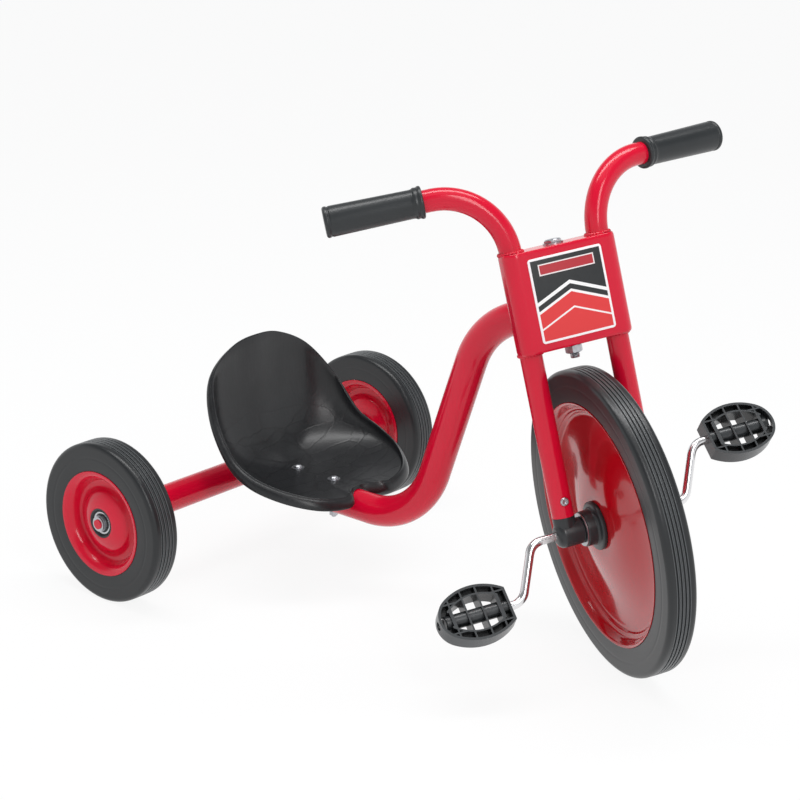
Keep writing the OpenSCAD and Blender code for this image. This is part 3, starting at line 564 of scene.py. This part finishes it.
bulge = np.vstack([[(9.2, 15.0), (24.0, 15.0)], wave((32.5, 15.0), (121.0, 2.1), 48)])
stepped = smooth_line([
    (123.5, 1.9), (126.3, 2.4), (127.8, 4.2), (129.6, 5.6), (132.2, 5.8),
    (134.2, 7.6), (136.6, 12.2), (138.8, 15.6), (140.6, 16.8), (141.6, 16.9),
], 5)
front_disc = sheet(np.vstack([bulge, stepped]))
rear_disc = sheet(smooth_line([
    (18.6, 15.9), (22.0, 15.6), (29.0, 13.4), (35.0, 10.4), (37.6, 8.5), (40.2, 5.2),
    (43.0, 2.7), (46.0, 1.8), (49.2, 1.8), (51.2, 2.9), (53.0, 6.4), (55.2, 11.6),
    (57.6, 15.2), (60.6, 17.8), (63.6, 18.8), (65.6, 18.9),
], 5))
for side, hand in hands:
    piece(f"front_disc_skin_{hand}", turned(front_disc, 200), front_side[side], "front_wheel",
          wheel_red, f"front_disc_{hand}")
    for where, face in (("outer", 1), ("inner", -1)):
        piece(f"rear_{where}_skin_{hand}", turned(rear_disc * [1, face], 140), rear_side[side],
              f"rear_wheel_{hand}", frame_red, f"rear_{where}_disc_{hand}")

# %% [markdown]
# ## Front hub
# The plastic boss on each side of the front wheel is a flange with a soft edge and a barrel
# that tapers slightly. Outside it sits the bearing block: a barrel with a rounded end round
# the axle, and a stub that plugs into the fork leg. Moulded edges are never quite sharp, so
# the corners of each profile are cut back and rounded before it is turned.

# %% Front hub
def soften(points, cut):
    """An open line whose corners are cut back by a distance and replaced by a parabola.

    Each of the parabola's five points weighs start, corner and end by the terms of the square
    of (1 - t) + t. A cut takes at most 0.45 of a side.
    """
    p = np.array(points, float)
    t = np.linspace(0.0, 1.0, 5)[:, None]
    line = [p[:1]]
    for before, corner, after in zip(p[:-2], p[1:-1], p[2:]):
        near, far = np.linalg.norm(before - corner), np.linalg.norm(after - corner)
        start = corner + (before - corner) * min(cut, 0.45 * near) / near
        end = corner + (after - corner) * min(cut, 0.45 * far) / far
        line.append((1 - t) ** 2 * start + 2 * t * (1 - t) * corner + t**2 * end)
    return np.vstack(line + [p[-1:]])


boss = soften([
    (5.2, 15.05), (28.0, 15.05), (28.0, 19.0), (26.6, 20.2),
    (22.0, 20.8), (20.4, 22.6), (20.0, 33.5), (5.2, 33.5),
], 1.0)
end_arc = np.radians(np.linspace(0, 90, 9))
barrel_end = np.stack([6.4 + 8.6 * np.cos(end_arc), 57.5 + 8.5 * np.sin(end_arc)], -1)
barrel = np.vstack([[(5.1, 66.0), (5.1, 35.3), (14.4, 35.3), (15.0, 35.9)], barrel_end])
stub_side = soften([(0.0, 6.0), (12.7, 6.0), (12.7, 19.9), (10.6, 19.9), (10.6, 61.0)], 0.5)
stub = np.vstack([stub_side, [(0.0, 62.0)]])
for side, hand in hands:
    piece(f"hub_boss_skin_{hand}", turned(boss, 96), front_side[side], "front_wheel",
          black_plastic, f"hub_boss_{hand}")
    piece(f"bearing_barrel_{hand}", turned(barrel, 96), front_side[side], "fork",
          black_plastic, f"bearing_block_{hand}")
    piece(f"bearing_stub_{hand}", turned(stub, 72), axes(leg_foot[side], fork_ahead, steer_up), "fork",
          black_plastic, f"bearing_block_{hand}", loop=False)

# %% [markdown]
# ## Rear hubs
# A rear hub is a black cup that holds a ball bearing a little below its edge: a bright outer
# race, a dark rubber seal and a bright inner race. The seal could be a piece of its own, but
# it is only a band of radii, so the finish measures the distance from the axle.

# %% Rear hubs
def bearing_finish(hand):
    """Bright steel with a dark seal where the distance from the axle is between two radii."""
    steel = Finish(f"bearing_steel_{hand}", Metallic=1.0)
    from_axle = steel.vector("SUBTRACT", steel.place(), (rear_x / 1000.0, 0.0, rear_z / 1000.0))
    upright_part = steel.vector("MULTIPLY", from_axle, (1.0, 0.0, 1.0))
    radius = steel.node("ShaderNodeVectorMath", {"operation": "LENGTH"}, {0: upright_part}, "Value")
    seal_inner, seal_outer = 0.0094, 0.0118
    seal = radius.above(seal_inner) * radius.below(seal_outer)
    haze = steel.noise(300.0)
    bright = steel.blend(haze, rgb(170, 171, 174), rgb(214, 215, 218))
    return steel.wear(
        Base_Color=steel.blend(seal, bright, rgb(40, 42, 45)),
        Metallic=1 - seal,
        Roughness=0.2 + haze * 0.15 + seal * 0.25,
    )


half_cup = [(14.1, 13.0), (15.0, 13.2), (16.6, 15.6), (17.2, 16.0), (18.5, 16.0)]
cup = soften(half_cup + [(radius, -height) for radius, height in half_cup[::-1]], 0.4)
races = soften([
    (6.1, 16.0), (9.2, 16.0), (9.4, 13.6), (11.7, 13.4), (12.0, 14.0), (14.0, 14.0), (14.0, 8.0), (6.1, 8.0),
], 0.3)
for side, hand in hands:
    piece(f"rear_hub_cup_{hand}", turned(cup, 96), rear_side[side], f"rear_wheel_{hand}",
          black_plastic, f"rear_hub_{hand}")
    bearing_steel = bearing_finish(hand)
    for where, face in (("outer", 1), ("inner", -1)):
        piece(f"rear_bearing_{where}_{hand}", turned(races * [1, face], 96), rear_side[side],
              f"rear_wheel_{hand}", bearing_steel, f"rear_bearings_{hand}")

# %% [markdown]
# ## Head bracket
# The bracket is folded from sheet steel. One strip runs across the front and wraps round the
# outside of both fork tubes, and a plate closes it above and below. The strip's section is
# the same line at two radii from the tubes. Its upper and lower edges are dressed back to the
# tubes along a quarter of an ellipse.

# %% Head bracket
low_edge, high_edge = 206.0, 318.5
edge_height, edge_radius, strip_out, strip_in, front_bend = 5.0, 12.85, 1.85, 12.75, 7.3


def leg_arc(ahead, radius, start, end, steps):
    """An arc in plan round a point ahead of the left tube's centre, between two angles in degrees."""
    angle = np.radians(np.linspace(start, end, steps))
    return np.stack([ahead + radius * np.cos(angle), half_fork + radius * np.sin(angle)], -1)


def both_sides(half):
    """A plan line on the left side, and back along its mirror image on the right."""
    return np.vstack([half, half[::-1] * [1, -1]])


def wrap_line(radius):
    """The strip's line in plan, at a radius round the tubes and round the two front bends."""
    return both_sides(np.vstack([leg_arc(0.0, radius, 180, 90, 13), leg_arc(front_bend, radius, 90, 0, 13)]))


def level_rows(outlines, heights):
    """A grid of closed plan outlines, one at each height."""
    return np.stack([np.hstack([line, np.full((len(line), 1), z)]) for line, z in zip(outlines, heights)])


quarter = np.radians(np.linspace(0, 90, 7))
edge_radii = edge_radius + strip_out * np.cos(quarter)
edge_rise = edge_height * np.sin(quarter)
heights = np.concatenate([low_edge + edge_height - edge_rise[::-1], high_edge - edge_height + edge_rise])
radii = np.concatenate([edge_radii[::-1], edge_radii])
strip = [np.vstack([wrap_line(radius), wrap_line(strip_in)[::-1]]) for radius in radii]
piece("head_bracket_strip", level_rows(strip, heights), fork_place, "fork", frame_red,
      "head_bracket", ring=False)

# %% [markdown]
# ## Bracket plates
# The plates between the tubes are flat, with a half circle bitten out for each tube. Their
# rear edge shows, so it is rounded: four outlines down the plate's thickness set it in by a
# little less or more.

# %% Bracket plates
tube_bite, plate_front, plate_rear = 12.8, 20.1, -18.0
rear_corner = [[plate_rear + 1.0, half_fork], [plate_rear, half_fork - 1.0]]
left_half = np.vstack([[[plate_front, half_fork]], leg_arc(0.0, tube_bite, 0, -180, 25), rear_corner])
plate_line = both_sides(left_half)
rear_edge = (plate_line[:, :1] < plate_rear + 2.0) * [1.0, 0.0]
edge_steps = ((0.0, 0.5), (0.4, 0.1), (1.5, 0.0), (1.95, 0.5))
for where, z, out in (("upper", high_edge, 1), ("lower", low_edge, -1)):
    lines = [plate_line + inset * rear_edge for _, inset in edge_steps]
    levels = [z - depth * out for depth, _ in edge_steps]
    piece(f"head_bracket_{where}_plate", level_rows(lines, levels), fork_place, "fork",
          frame_red, "head_bracket", ring=False)

# %% [markdown]
# ## Welds
# The tubes leave the bracket in a fillet weld, and the frame's three tubes are joined by
# welds too. A bead is a thin tube along the joint's curve, and a ripple in its radius stands
# for the overlapping puddles. A bump would look flat in outline, where a bead stands proud.

# %% Bracket welds
def bead(path, outward, radius, ripples):
    """A closed tube along path[n, xyz], whose section starts at each point's outward direction.

    The radius swells and shrinks by a share of itself, as a sine with so many ripples.
    """
    swell = 0.14
    along = np.roll(path, -1, 0) - np.roll(path, 1, 0)
    along /= np.linalg.norm(along, axis=1, keepdims=True)
    beside = np.cross(along, outward)
    beside /= np.linalg.norm(beside, axis=1, keepdims=True)
    out = np.cross(beside, along)
    angle = np.linspace(0, 2 * np.pi, 12, endpoint=False)[None, :, None]
    phase = np.linspace(0, 2 * np.pi * ripples, len(path), endpoint=False)
    size = radius * (1 + swell * np.sin(phase))
    section = out[:, None] * np.cos(angle) + beside[:, None] * np.sin(angle)
    return path[:, None] + size[:, None, None] * section


round_angle = np.linspace(0, 2 * np.pi, 144, endpoint=False)
cosine, sine = np.cos(round_angle), np.sin(round_angle)
circle = np.stack([cosine, sine, 0 * round_angle], -1)
leg_radius, weld_rise = 12.9, 0.3
for side, hand in hands:
    for where, z in (("upper", high_edge + weld_rise), ("lower", low_edge - weld_rise)):
        leg_ring = circle * leg_radius + [0.0, side * half_fork, z]
        leg_bead = bead(leg_ring, circle, radius=2.2, ripples=26)
        piece(f"bracket_weld_{where}_{hand}", leg_bead, fork_place, "fork", frame_red)

# %% [markdown]
# ## Frame welds
# Where the main tube meets the head tube or the cross tube, the joint is the main tube's
# circle, pushed along it until each point touches the other tube. By Pythagoras, that push is
# the root of the other tube's squared radius less the squared distance from its middle.

# %% Frame welds
tube_radius, weld_height = 19.5, 241.0
head_square, cross_square, least_square = 410.0, 330.0, 90.0
row_left, pin_back = np.array([0.0, 1.0, 0.0]), np.array([-0.960294, 0.0, -0.278991])
sideways, upwards = tube_radius * cosine, tube_radius * sine

head_joint = pin_foot + weld_height * steer_up
head_push = np.sqrt(head_square - sideways**2)
head_ring = head_joint + upwards[:, None] * steer_up + sideways[:, None] * row_left
head_out = cosine[:, None] * row_left + sine[:, None] * steer_up
head_bead = bead(head_ring + head_push[:, None] * pin_back, head_out, radius=2.6, ripples=30)
piece("head_tube_weld", head_bead, row_place, "frame", frame_red)

cross_push = np.sqrt(np.maximum(cross_square - upwards**2, least_square))
cross_ring = np.stack([rear_x + cross_push, sideways, rear_z + upwards], -1)
cross_out = np.stack([0 * round_angle, cosine, sine], -1)
cross_bead = bead(cross_ring, cross_out, radius=2.6, ripples=30)
piece("cross_tube_weld", cross_bead, row_place, "frame", frame_red)

# %% [markdown]
# ## A plain print
# The plate on the bracket carries a film with a plain print, measured in millimetres from
# the plate's middle: a white border, a dark field, a pale-edged bar, and two chevrons above a
# red foot. Each shape is a distance that is below or above an edge, and each colour is laid
# over the ones before it.

# %% Plate print
film = Finish("plate_print", Coat_Weight=0.25, Coat_Roughness=0.12, IOR=1.44)
across = film.painted()
above = across.beside(1)
chevron_slope, bar_middle = 0.42, 33.0
border = (across.size() - 41.6).most(above.size() - 44.4)
slant = above + across.size() * chevron_slope
bar = (across.size() - 32.0).most((above - bar_middle).size() - 5.0)
grime = film.noise(180.0)
print_tone = film.blend(grime, rgb(24, 26, 28), rgb(36, 38, 40))
for shape, colour in (
    (bar.below(1.3), rgb(236, 226, 226)),
    (bar.below(0.0), rgb(178, 36, 48)),
    ((slant - 14.0).size().below(2.0), rgb(244, 242, 242)),
    (slant.below(6.0), rgb(246, 240, 240)),
    (slant.below(3.0), rgb(222, 50, 52)),
    ((slant + 14.0).size().below(1.0), rgb(246, 236, 236)),
    (border.above(0.0), rgb(246, 240, 242)),
):
    print_tone = film.blend(shape, print_tone, colour)
plate_print = film.wear(Base_Color=print_tone, Roughness=0.30 + grime * 0.12)
print("film:", plate_print.name)

# %% [markdown]
# ## Plate
# The plate itself is a thin sheet whose outline is a rectangle with rounded corners, each a
# quarter circle. Four outlines from back to front make its thickness, and the last ones are
# slightly smaller, so its front edge is eased. Its UV map is the place on the plate.

# %% Plate
plate_middle = 262.25
corner_centre, corner_radius = (40.75, 43.5), 3.5
corner_angle = np.radians(np.linspace(0, 90, 9))
corner_arc = corner_radius * np.stack([np.cos(corner_angle), np.sin(corner_angle)], -1) + corner_centre
back_arc = corner_arc[::-1]
outline = np.vstack([corner_arc, back_arc * [-1, 1], corner_arc * [-1, -1], back_arc * [1, -1]])
plate_rows = []
for ahead, share in ((22.05, 1.0), (22.6, 1.0), (22.8, 0.997), (22.85, 0.992)):
    left, up = share * outline[:, 0], plate_middle + share * outline[:, 1]
    plate_rows.append(np.stack([np.full(len(outline), ahead), left, up], -1))
plate_grid = np.stack(plate_rows)
piece("front_plate_skin", plate_grid, fork_place, "fork", plate_print, "front_plate",
      ring=False, uv=plate_grid[..., 1:] - [0.0, plate_middle])

# %% [markdown]
# ## Grips
# A moulded grip is a lathe shape on the bar: a flared collar at the inner end, a barrel that
# swells slightly, a fine groove and a thick rounded end. The bar sweeps back by 15 degrees,
# so the grip's line is mostly along the axle and a little back.

# %% Grips
bar_height, bar_bend = 393.5, 82.5
sweep_back, sweep_out = 0.258819, 0.965926
grip_outside = soften([
    (12.75, 0.0), (16.4, 0.0), (18.2, 1.0), (18.4, 3.4), (17.4, 5.0), (17.2, 6.2), (17.7, 8.8),
    (16.4, 10.4), (16.0, 13.0), (16.6, 60.0), (17.2, 102.5), (16.6, 103.6), (16.6, 104.6),
    (17.35, 105.4), (17.45, 108.2), (15.6, 110.0), (6.0, 109.7),
], 0.9)
grip_line = np.vstack([grip_outside, [(0.0, 109.6), (0.0, 106.0), (12.75, 106.0)]])
for side, hand in hands:
    bar_way = -sweep_back * fork_ahead + side * sweep_out * axle_left
    bar_end = leg_foot[side] + bar_height * steer_up + bar_bend * bar_way
    piece(f"grip_skin_{hand}", turned(grip_line, 72), axes(bar_end, steer_up, bar_way), "fork",
          grip_rubber, f"grip_{hand}")

# %% [markdown]
# ## Round bolts
# Bolt heads catch the light, so they get their real form. The seat bolts have domed heads,
# an arc of an ellipse over a plain shank. The leg screws have a socket, which is only a
# profile that steps down again towards the middle.

# %% Round bolts
seat_face, dome_radius, dome_height = 124.1, 5.5, 3.5
dome_angle = np.radians(np.linspace(90, 8, 12))
dome = np.stack([dome_radius * np.cos(dome_angle), seat_face + dome_height * np.sin(dome_angle)], -1)
shank = [(dome_radius, seat_face), (3.0, seat_face), (3.0, 74.0), (2.6, 73.5), (0.0, 73.5)]
seat_bolt = np.vstack([dome, shank])
for where, ahead in (("rear", 88.5), ("front", 149.5)):
    bolt_place = axes((rear_x + ahead, 0, 0), (1, 0, 0), (0, 0, 1))
    piece(f"seat_bolt_{where}", turned(seat_bolt, 40), bolt_place, "frame",
          steel_hardware, "seat_bolts", loop=False)

screw_ahead, screw_height = 12.75, 38.5
screw_head = [(0.0, 0.6), (2.5, 0.6), (2.7, 3.0), (3.9, 3.0), (5.0, 1.6), (5.0, 0.0), (2.0, 0.0)]
screw = np.vstack([soften(screw_head, 0.4), [(2.0, -12.0), (0.0, -12.0)]])
for side, hand in hands:
    screw_at = leg_foot[side] + screw_ahead * fork_ahead + screw_height * steer_up
    piece(f"leg_screw_{hand}", turned(screw, 40), axes(screw_at, steer_up, fork_ahead), "fork",
          steel_hardware, "block_screws", loop=False)

# %% [markdown]
# ## Kingpin
# The fork turns on a long bolt, the kingpin. Its head and nut are hexagons whose corners are
# turned off. A Boolean cut with a cone would do that too, but one formula gives clean rows: a
# hexagon's radius grows towards its corners, and the top drops where it passes the chamfer.

# %% Kingpin
def hexagon(rows, steps):
    """Rows of [height, radius, is_hex, drop]: circles, or hexagons with the radius as half width.

    A hexagon's radius at an angle is its half width divided by the cosine of the angle from
    the nearest flat. What is more than 1.03 half widths falls by drop times the excess.
    """
    angle = np.linspace(0, 2 * np.pi, steps, endpoint=False)[:, None]
    height, radius, is_hex, drop = (np.array(rows, float)[:, k][None, :] for k in range(4))
    from_flat = (angle + np.pi / 6) % (np.pi / 3) - np.pi / 6
    wide = radius / np.where(is_hex > 0, np.cos(from_flat), 1.0)
    fall = drop * np.maximum(wide - 1.03 * radius, 0.0)
    return np.stack([wide * np.cos(angle), wide * np.sin(angle), height - fall], -1)


pitch_step, thread_depth, chamfer = 0.75, 0.45, 0.58
pin_end = [(189.4, 0.0, 0, 0), (189.4, 4.6, 0, 0)]
threads = [(189.9 + pitch_step * k, 5.5 - thread_depth * (k % 2), 0, 0) for k in range(9)]
pin_shank = [(196.0, 5.5, 0, 0), (320.1, 5.5, 0, 0), (320.1, 8.6, 0, 0)]
pin_head = [
    (320.4, 9.0, 1, 0), (322.8, 9.0, 1, chamfer), (323.6, 8.2, 0, 0), (324.0, 5.0, 0, 0), (324.1, 0.0, 0, 0),
]
nut = [
    (195.4, 5.6, 0, 0), (195.4, 8.2, 0, 0), (196.0, 9.0, 1, -chamfer),
    (203.8, 9.0, 1, chamfer), (204.4, 8.4, 0, 0), (204.4, 5.6, 0, 0),
]
kingpin = hexagon(pin_end + threads + pin_shank + pin_head, 72)
piece("kingpin_bolt_skin", kingpin, pin_place, "fork", steel_hardware, "kingpin_bolt",
      loop=False, sharp=30)
piece("kingpin_nut_skin", hexagon(nut, 72), pin_place, "fork", steel_hardware,
      "kingpin_nut", sharp=30)

# %% [markdown]
# ## Spindle caps
# A black cap closes the outer end of each pedal and hides the retaining ring. It is a hollow
# lathe shape with a ring and a shallow dish, on the line of the spindle: the crank's throw,
# turned by the crank's angle, gives that line.

# %% Spindle caps
throw, crank_turn = 60.0, np.radians(170.0)
arm = np.sin(crank_turn) * fork_ahead + np.cos(crank_turn) * steer_up
cap_outside = soften([
    (8.1, 210.1), (8.6, 210.1), (8.6, 215.6), (7.6, 216.6), (6.2, 216.6), (5.4, 215.6), (2.0, 215.4),
], 0.6)
cap = np.vstack([[(0.0, 214.7), (8.1, 214.7)], cap_outside, [(0.0, 215.4)]])
for side, hand in hands:
    spindle = axes(hub_centre - side * throw * arm, fork_ahead, side * axle_left)
    piece(f"spindle_cap_{hand}", turned(cap, 48), spindle, f"pedal_{hand}",
          black_plastic, loop=False)

# %% [markdown]
# ## Seat plastic
# The seat's plastic is dull, with a grain that runs up the back as the mould was brushed that
# way, and fine creases where the pan turns up. Noise squeezed in Z gives the grain. The
# creases are the edges of stretched cells, bent by a second noise so that none is straight.
# They fade out with height, and the mesh's UV map keeps them inside the bowl. They dent the surface, and
# they darken its colour as painted shade.

# %% Seat plastic
hide = Finish("seat_plastic", IOR=plastic_ior)
streak = hide.noise(520.0, stretch=(1.0, 1.0, 0.07))
cloud = hide.noise(30.0, detail=4.0)
swirl = hide.node("ShaderNodeTexNoise", None, {"Vector": hide.place(), "Scale": 40.0}, "Color")
wobble = hide.vector("MULTIPLY", swirl, (0.012, 0.012, 0.012))
bent_place = {"Vector": hide.vector("ADD", hide.place((1.3, 0.5, 1.3)), wobble), "Scale": 34.0}
cell_edge = hide.node("ShaderNodeTexVoronoi", {"feature": "DISTANCE_TO_EDGE"}, bent_place, "Distance")
height = hide.node("ShaderNodeSeparateXYZ", None, {0: hide.place()}, "Z")
fold = hide.span(cell_edge, (0.0, 0.07), (1.0, 0.0))
low_part = hide.span(height, (0.165, 0.205), (1.0, 0.0))
crease_and_shade = fold * low_part * hide.painted()
grained = hide.blend(streak * cloud * 2.0, rgb(22, 23, 25), rgb(40, 41, 43))
seat_plastic = hide.wear(
    # Painted shade: the creases darken the colour towards near black.
    Base_Color=hide.blend(crease_and_shade * 0.5, grained, rgb(18, 18, 20)),
    Roughness=0.24 + streak * 0.16,
    Normal=hide.relief(streak * 0.12 - crease_and_shade * 0.45, depth=0.0007),
)
print("seat finish:", seat_plastic.name)

# %% [markdown]
# ## Seat rim
# The seat is a moulded scoop. Its rim is a closed curve that climbs from the front lip to the
# top of the back, written as shares of the seat's length, half width and height. At the
# front it dips into a notch over the main tube, between two raised corners.

# %% Seat rim
seat_length, seat_half, seat_height = 186.0, 118.5, 161.0
lip_ahead, front_part, pan_level = 205.0, -150.0, 123.3
notch_half, notch_move = 21.0, [-12.0, 0.0, -1.5]
corner_at, corner_width, corner_move = 27.0, 7.0, [0.0, 0.0, 2.0]
rim_shares = np.array([
    [0.038, 0.00, 0.000], [0.005, 0.34, 0.005], [0.065, 0.67, 0.043], [0.240, 0.90, 0.105],
    [0.450, 1.00, 0.183], [0.645, 0.97, 0.300], [0.823, 0.905, 0.573], [0.957, 0.70, 0.820],
    [1.000, 0.34, 0.963], [0.997, 0.00, 1.000],
])
half_rim = rim_shares * [-seat_length, seat_half, seat_height] + [lip_ahead + rear_x, 0.0, pan_level]
rim = smooth_line(np.vstack([half_rim, half_rim[-2:0:-1] * [1, -1, 1]]), 24, closed=True)
at_front, off_middle = rim[:, 0] > front_part, np.abs(rim[:, 1])
notch_share = at_front * np.exp(-((off_middle / notch_half) ** 3.2))
corner_share = at_front * np.exp(-(((off_middle - corner_at) / corner_width) ** 2))
rim += notch_share[:, None] * notch_move + corner_share[:, None] * corner_move
print("seat rim from", rim.min(0).round(1).tolist(), "to", rim.max(0).round(1).tolist())

# %% [markdown]
# ## Seat shell
# Between the pan's lowest point and the rim, the share of the way out is a power of a sine
# and the share of the way up a power of a cosine, which gives a flat pan and steep sides. A
# skirt rolls over the rim and turns down, and the underside follows the pan at the wall's
# thickness. Over the main tube, the skirt and the underside arch up to clear it.

# %% Seat shell
wall, pan_power, tube_clear = 4.0, 0.8, 19.6
notch_hold, fade_start, fade_rings = 0.7, 3, 8.0
pan = np.array([-222.657, 0.0, pan_level])
rim_out = (rim - pan) * [1, 1, 0]
rim_out /= np.linalg.norm(rim_out, axis=1, keepdims=True)
rim_out *= 1.0 - notch_hold * notch_share[:, None]


def skirt(out, drop):
    """The rim moved outwards and down, in mm."""
    return rim + rim_out * out - np.array([0.0, 0.0, drop])


def scoop(edge, low, angle):
    """The ring between a lowest point and an edge, at an angle from 0 to 90 degrees."""
    flat = np.sin(angle) ** pan_power
    rise = 1.0 - np.maximum(np.cos(angle), 0.0) ** pan_power
    return low + (edge - low) * [flat, flat, rise]


rise_angles = np.radians(np.linspace(0.0, 90.0, 46))
roll_over = [
    (0.4, -0.7), (0.8, -1.3), (1.4, -1.6), (2.0, -1.2), (2.6, -0.2), (3.4, 0.4), (5.2, 1.6), (7.0, 4.2),
    (8.4, 7.4), (9.0, 10.2), (9.0, 11.4), (8.6, 12.0), (7.6, 12.0), (7.2, 11.4), (7.0, 9.4), (6.2, 6.4),
    (4.9, 4.8),
]
upper = [scoop(rim, pan, angle) for angle in rise_angles]
lower = [scoop(skirt(wall, wall), pan - [0, 0, wall], angle) for angle in rise_angles[::-1]]
shell = np.stack(upper + [skirt(*step) for step in roll_over] + lower, 1)

ring_index, rim_index = np.arange(shell.shape[1]), len(upper)
tube_top = rear_z + np.sqrt(np.maximum(tube_clear**2 - shell[..., 1] ** 2, 0.0))
lift = np.interp(ring_index, [rim_index, rim_index + 11, ring_index[-1]], [1.8, 0.4, 0.0])
over_tube = (ring_index >= rim_index) & (np.abs(shell[..., 1]) < tube_clear)
shell[..., 2] = np.where(over_tube, np.maximum(shell[..., 2], tube_top + lift), shell[..., 2])
bowl = np.clip((rim_index - fade_start - ring_index) / fade_rings, 0.0, 1.0)
bowl_map = np.tile(np.stack([bowl, 0 * bowl], -1), (len(shell), 1, 1))
piece("seat_skin", shell, row_place, "frame", seat_plastic, "seat", loop=False, uv=bowl_map)

# %% [markdown]
# ## Studio lamps
# A long softbox hangs overhead and draws the thin bright lines along the tubes, and a second
# one lights the side that the camera sees. A very wide sun stands for the light that a white
# room throws back from everywhere.

# %% Lamps
def softbox(name, centre, aim, size, power):
    """A rectangular lamp at a centre that shines towards an aim, in metres and watts."""
    made = bpy.data.lights.new(name, "AREA")
    made.shape, made.size, made.size_y, made.energy = "RECTANGLE", *size, power
    holder = bpy.data.objects.new(name, made)
    bpy.context.scene.collection.objects.link(holder)
    holder.location = centre
    holder.rotation_euler = (Vector(aim) - Vector(centre)).to_track_quat("-Z", "Y").to_euler()


softbox("overhead_softbox", (-0.2, 0.1, 2.4), (-0.1, 0.0, 0.2), size=(2.6, 0.5), power=31.0)
softbox("side_softbox", (1.9, -1.0, 1.9), (0.0, 0.0, 0.3), size=(0.6, 1.6), power=21.0)
room_light = bpy.data.lights.new("room_light", "SUN")
room_light.energy, room_light.angle = 0.5, np.radians(60.0)
bpy.context.scene.collection.objects.link(bpy.data.objects.new("room_light", room_light))
print("lamps:", [lamp.name for lamp in bpy.data.lights])

# %% [markdown]
# ## Backdrop
# Round the tricycle is a white backdrop below a dim ceiling. Glossy paint shows both: the
# backdrop in its sides, the ceiling in its top. So the sky's strength falls with the height
# of the direction that it is seen in.

# %% Backdrop
world = bpy.data.worlds.new("studio")
world.use_nodes = True
bpy.context.scene.world = world
sky = Graph(world.node_tree)
direction = sky.node("ShaderNodeTexCoord", output="Generated")
direction_up = sky.node("ShaderNodeSeparateXYZ", None, {0: direction}, "Z")
wall_to_ceiling = sky.span(direction_up, (0.2, 0.6), (0.95, 0.28), interpolation_type="SMOOTHSTEP")
backdrop = world.node_tree.nodes["Background"]
sky.put(backdrop.inputs["Color"], (0.97, 0.985, 1.0, 1.0))
sky.put(backdrop.inputs["Strength"], wall_to_ceiling)
print("backdrop:", world.name)

# %% [markdown]
# ## Floor
# The tricycle stands on a wide white floor. It glows a little to the camera and in
# reflections, so the background is white and the shadow faint, while the light that it throws
# on the object stays plain: the glow is mixed in only for the rays that see it.

# %% Floor
half_floor, glow_share = 30.0, 0.9
floor_mesh = bpy.data.meshes.new("floor")
floor_corners = [(x * half_floor, y * half_floor, 0) for x, y in ((-1, -1), (1, -1), (1, 1), (-1, 1))]
floor_mesh.from_pydata(floor_corners, [], [(0, 1, 2, 3)])
floor = bpy.data.objects.new("floor", floor_mesh)
bpy.context.scene.collection.objects.link(floor)

floor_white = Finish("floor_white", Roughness=0.9, Base_Color=(0.94, 0.945, 0.955, 1.0))
camera_ray = floor_white.node("ShaderNodeLightPath", output="Is Camera Ray")
seen = camera_ray + camera_ray.beside("Is Glossy Ray") + camera_ray.beside("Is Transmission Ray")
glow = floor_white.node("ShaderNodeEmission", None, {"Color": (1.0, 1.0, 1.0, 1.0), "Strength": 1.0})
plain = Value(floor_white, floor_white.shader.outputs[0])
lit = floor_white.node("ShaderNodeMixShader", None, {0: seen.least(1.0) * glow_share, 1: plain, 2: glow})
floor_white.put(floor_white.tree.nodes["Material Output"].inputs["Surface"], lit)
floor_mesh.materials.append(floor_white.material)
print("floor", 2 * half_floor, "m wide")

# %% [markdown]
# ## Finish
# The dressed tricycle must keep the size of the solid model. The Standard view shows a colour as it was
# written.

# %% Finish
bpy.context.scene.view_settings.view_transform = "Standard"
